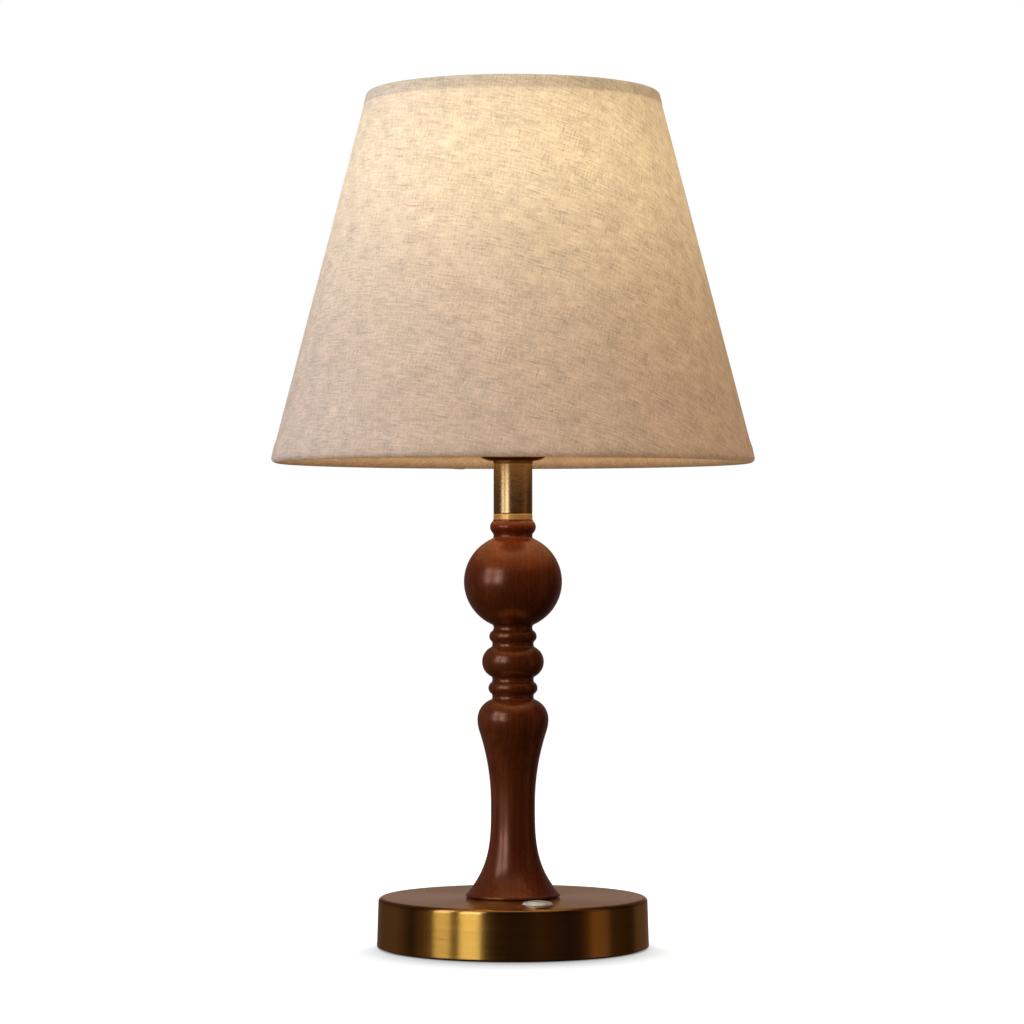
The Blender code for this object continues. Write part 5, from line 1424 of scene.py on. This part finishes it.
nut_r, nut_low, nut_top = node_place("shade_ring_nut")
SCALLOP = 0.0007
SCALLOPS = 16
POINTS_PER_SCALLOP = 14
nut_line = held(rounded([
    (nut_r, nut_top, 0.0005), (nut_r, nut_low, 0.0004), (SKIRT_R + GAP, nut_low, 0.0003),
    (SKIRT_R + GAP, nut_top, 0.0003),
], steps=5), True)
a = np.linspace(0.0, 2 * math.pi, SCALLOPS * POINTS_PER_SCALLOP, endpoint=False)[None, :]
share = np.clip((nut_line[:, :1] - SKIRT_R) / (nut_r - SKIRT_R), 0.0, 1.0) ** 3
radius = nut_line[:, :1] - SCALLOP * (1 - np.cos(SCALLOPS * a)) / 2 * share
nut_mesh = plain_mesh("ring_nut", carried_round(radius, nut_line[:, 1:], a))
keep("ring_nut", nut_mesh, PLASTIC, ["shade_ring_nut"])
print("skirt and nut made")

# %% [markdown]
# The bulb is a modern one: a steel screw cap, a white plastic body that widens like a bell, and a frosted globe
# that glows. Its body is drawn with the same double arc as the stem's swell. The globe is a thin shell of a
# ball, and it glows a little less by the shoulder than at its top.

# %% Bulb
WHITE = plain_finish("white_plastic", (0.78, 0.77, 0.74), (0.84, 0.83, 0.80), 0.28, 0.000008, 900.0)
body_low, body_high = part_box("bulb_body")
BODY_FOOT_R = 0.0136
BODY_HOLLOW_SHARE = 0.62
SHOULDER = 0.0278
swell = double_arc(BODY_FOOT_R, SHOULDER, body_low.z, body_high.z - body_low.z, BODY_HOLLOW_SHARE, 16)
line = np.concatenate([[(0.0, body_high.z)], swell[::-1], [(0.0, body_low.z)]])
keep_turned("bulb_shell", line, 96, WHITE, "white_plastic", "bulb_body", closed=False)

GLOBE_R = 0.030
GLOBE_WALL = 0.0011
GLOBE_GLOW = (1.0, 0.84, 0.58)
GLOBE, w, into = new_material("frosted_globe", Roughness=0.35, Emission_Strength=0.80)
place = object_place(w)
level = w.remap(w.split(place)["Z"], body_high.z, body_high.z + GLOBE_R, 0.70, 1.0, smooth=True)
wear = use_group(w, WEAR, {"Place": place, "Grain": 600.0})
level = w.times(level, w.remap(wear["Clouds"], 0.3, 0.7, 0.97, 1.03))
w.join(tinted(w, GLOBE_GLOW, level), into["Emission Color"])
w.join(w.mix(wear["Specks"], (0.92, 0.89, 0.82), (0.96, 0.93, 0.87)), into["Base Color"])
w.join(bump(w, wear["Specks"], 0.00002), into["Normal"])
globe_low, globe_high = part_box("bulb_globe")
globe_z = globe_high.z - GLOBE_R
start = math.degrees(math.asin((globe_low.z - globe_z) / GLOBE_R))
inner_r = GLOBE_R - GLOBE_WALL
line = np.concatenate([
    arc_points((0.0, globe_z), (GLOBE_R, GLOBE_R), 90, start, 40),
    arc_points((0.0, globe_z), (inner_r, inner_r), start, 90, 32),
])
line[np.abs(line[:, 0]) < 1e-6, 0] = 0.0
keep_turned("globe", line, 96, GLOBE, "frosted_globe", "bulb_globe", closed=False)
print("globe centre height in mm", mm(globe_z))

# %% [markdown]
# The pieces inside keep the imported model's own solids, because their shape is right, and get finishes of their
# own: cast iron for the weight, zinc for the bottom plate and the small hardware, brass for the live parts,
# glazed porcelain for the holder's insert and two colours of insulation. Each finish goes into the node's
# material slots.

# %% Finishes of the inner pieces
IRON = plain_finish("cast_iron", (0.050, 0.048, 0.046), (0.085, 0.080, 0.076), 0.66, 0.00012, 520.0, Metallic=0.35)
PORCELAIN = plain_finish("porcelain", (0.80, 0.78, 0.74), (0.87, 0.86, 0.83), 0.12, 0.00001, 260.0)
BOARD = plain_finish("led_board", (0.74, 0.71, 0.58), (0.86, 0.82, 0.68), 0.45, 0.00001, 900.0)
BROWN = plain_finish("brown_lead", (0.085, 0.032, 0.012), (0.120, 0.048, 0.020), 0.42, 0.000015, 900.0)
BLUE = plain_finish("blue_lead", (0.020, 0.060, 0.210), (0.030, 0.085, 0.270), 0.42, 0.000015, 900.0)
CONTACT = plain_finish("contact_brass", (0.62, 0.43, 0.17), (0.74, 0.54, 0.24), 0.26, 0.000006, 800.0, Metallic=1.0)
BY_START = {
    "base_weight": IRON, "holder_insert": PORCELAIN, "bulb_light_board": BOARD, "lead_from_switch": BROWN,
    "lead_from_joint": BLUE, "screw_shell": CONTACT, "contact_tongue": CONTACT, "switch_tab": CONTACT,
    "switch_housing": PLASTIC, "bulb_insulator": PLASTIC, "crimp_joint": WHITE,
    "threaded_pipe": ZINC, "pipe_": ZINC, "bottom_plate": ZINC, "plate_screw": ZINC, "switch_nut": ZINC,
    "switch_spring": ZINC, "bulb_cap": ZINC, "bulb_contact": ZINC,
}
stood_for = {name for piece in pieces for name in piece.get("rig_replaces", [])}
left = sorted(set(nodes) - stood_for)
for name in left:
    finish = next(material for start, material in BY_START.items() if name.startswith(start))
    for place in nodes[name].material_slots:
        place.material = finish
print("finishes given to", len(left), "nodes:", ", ".join(left))
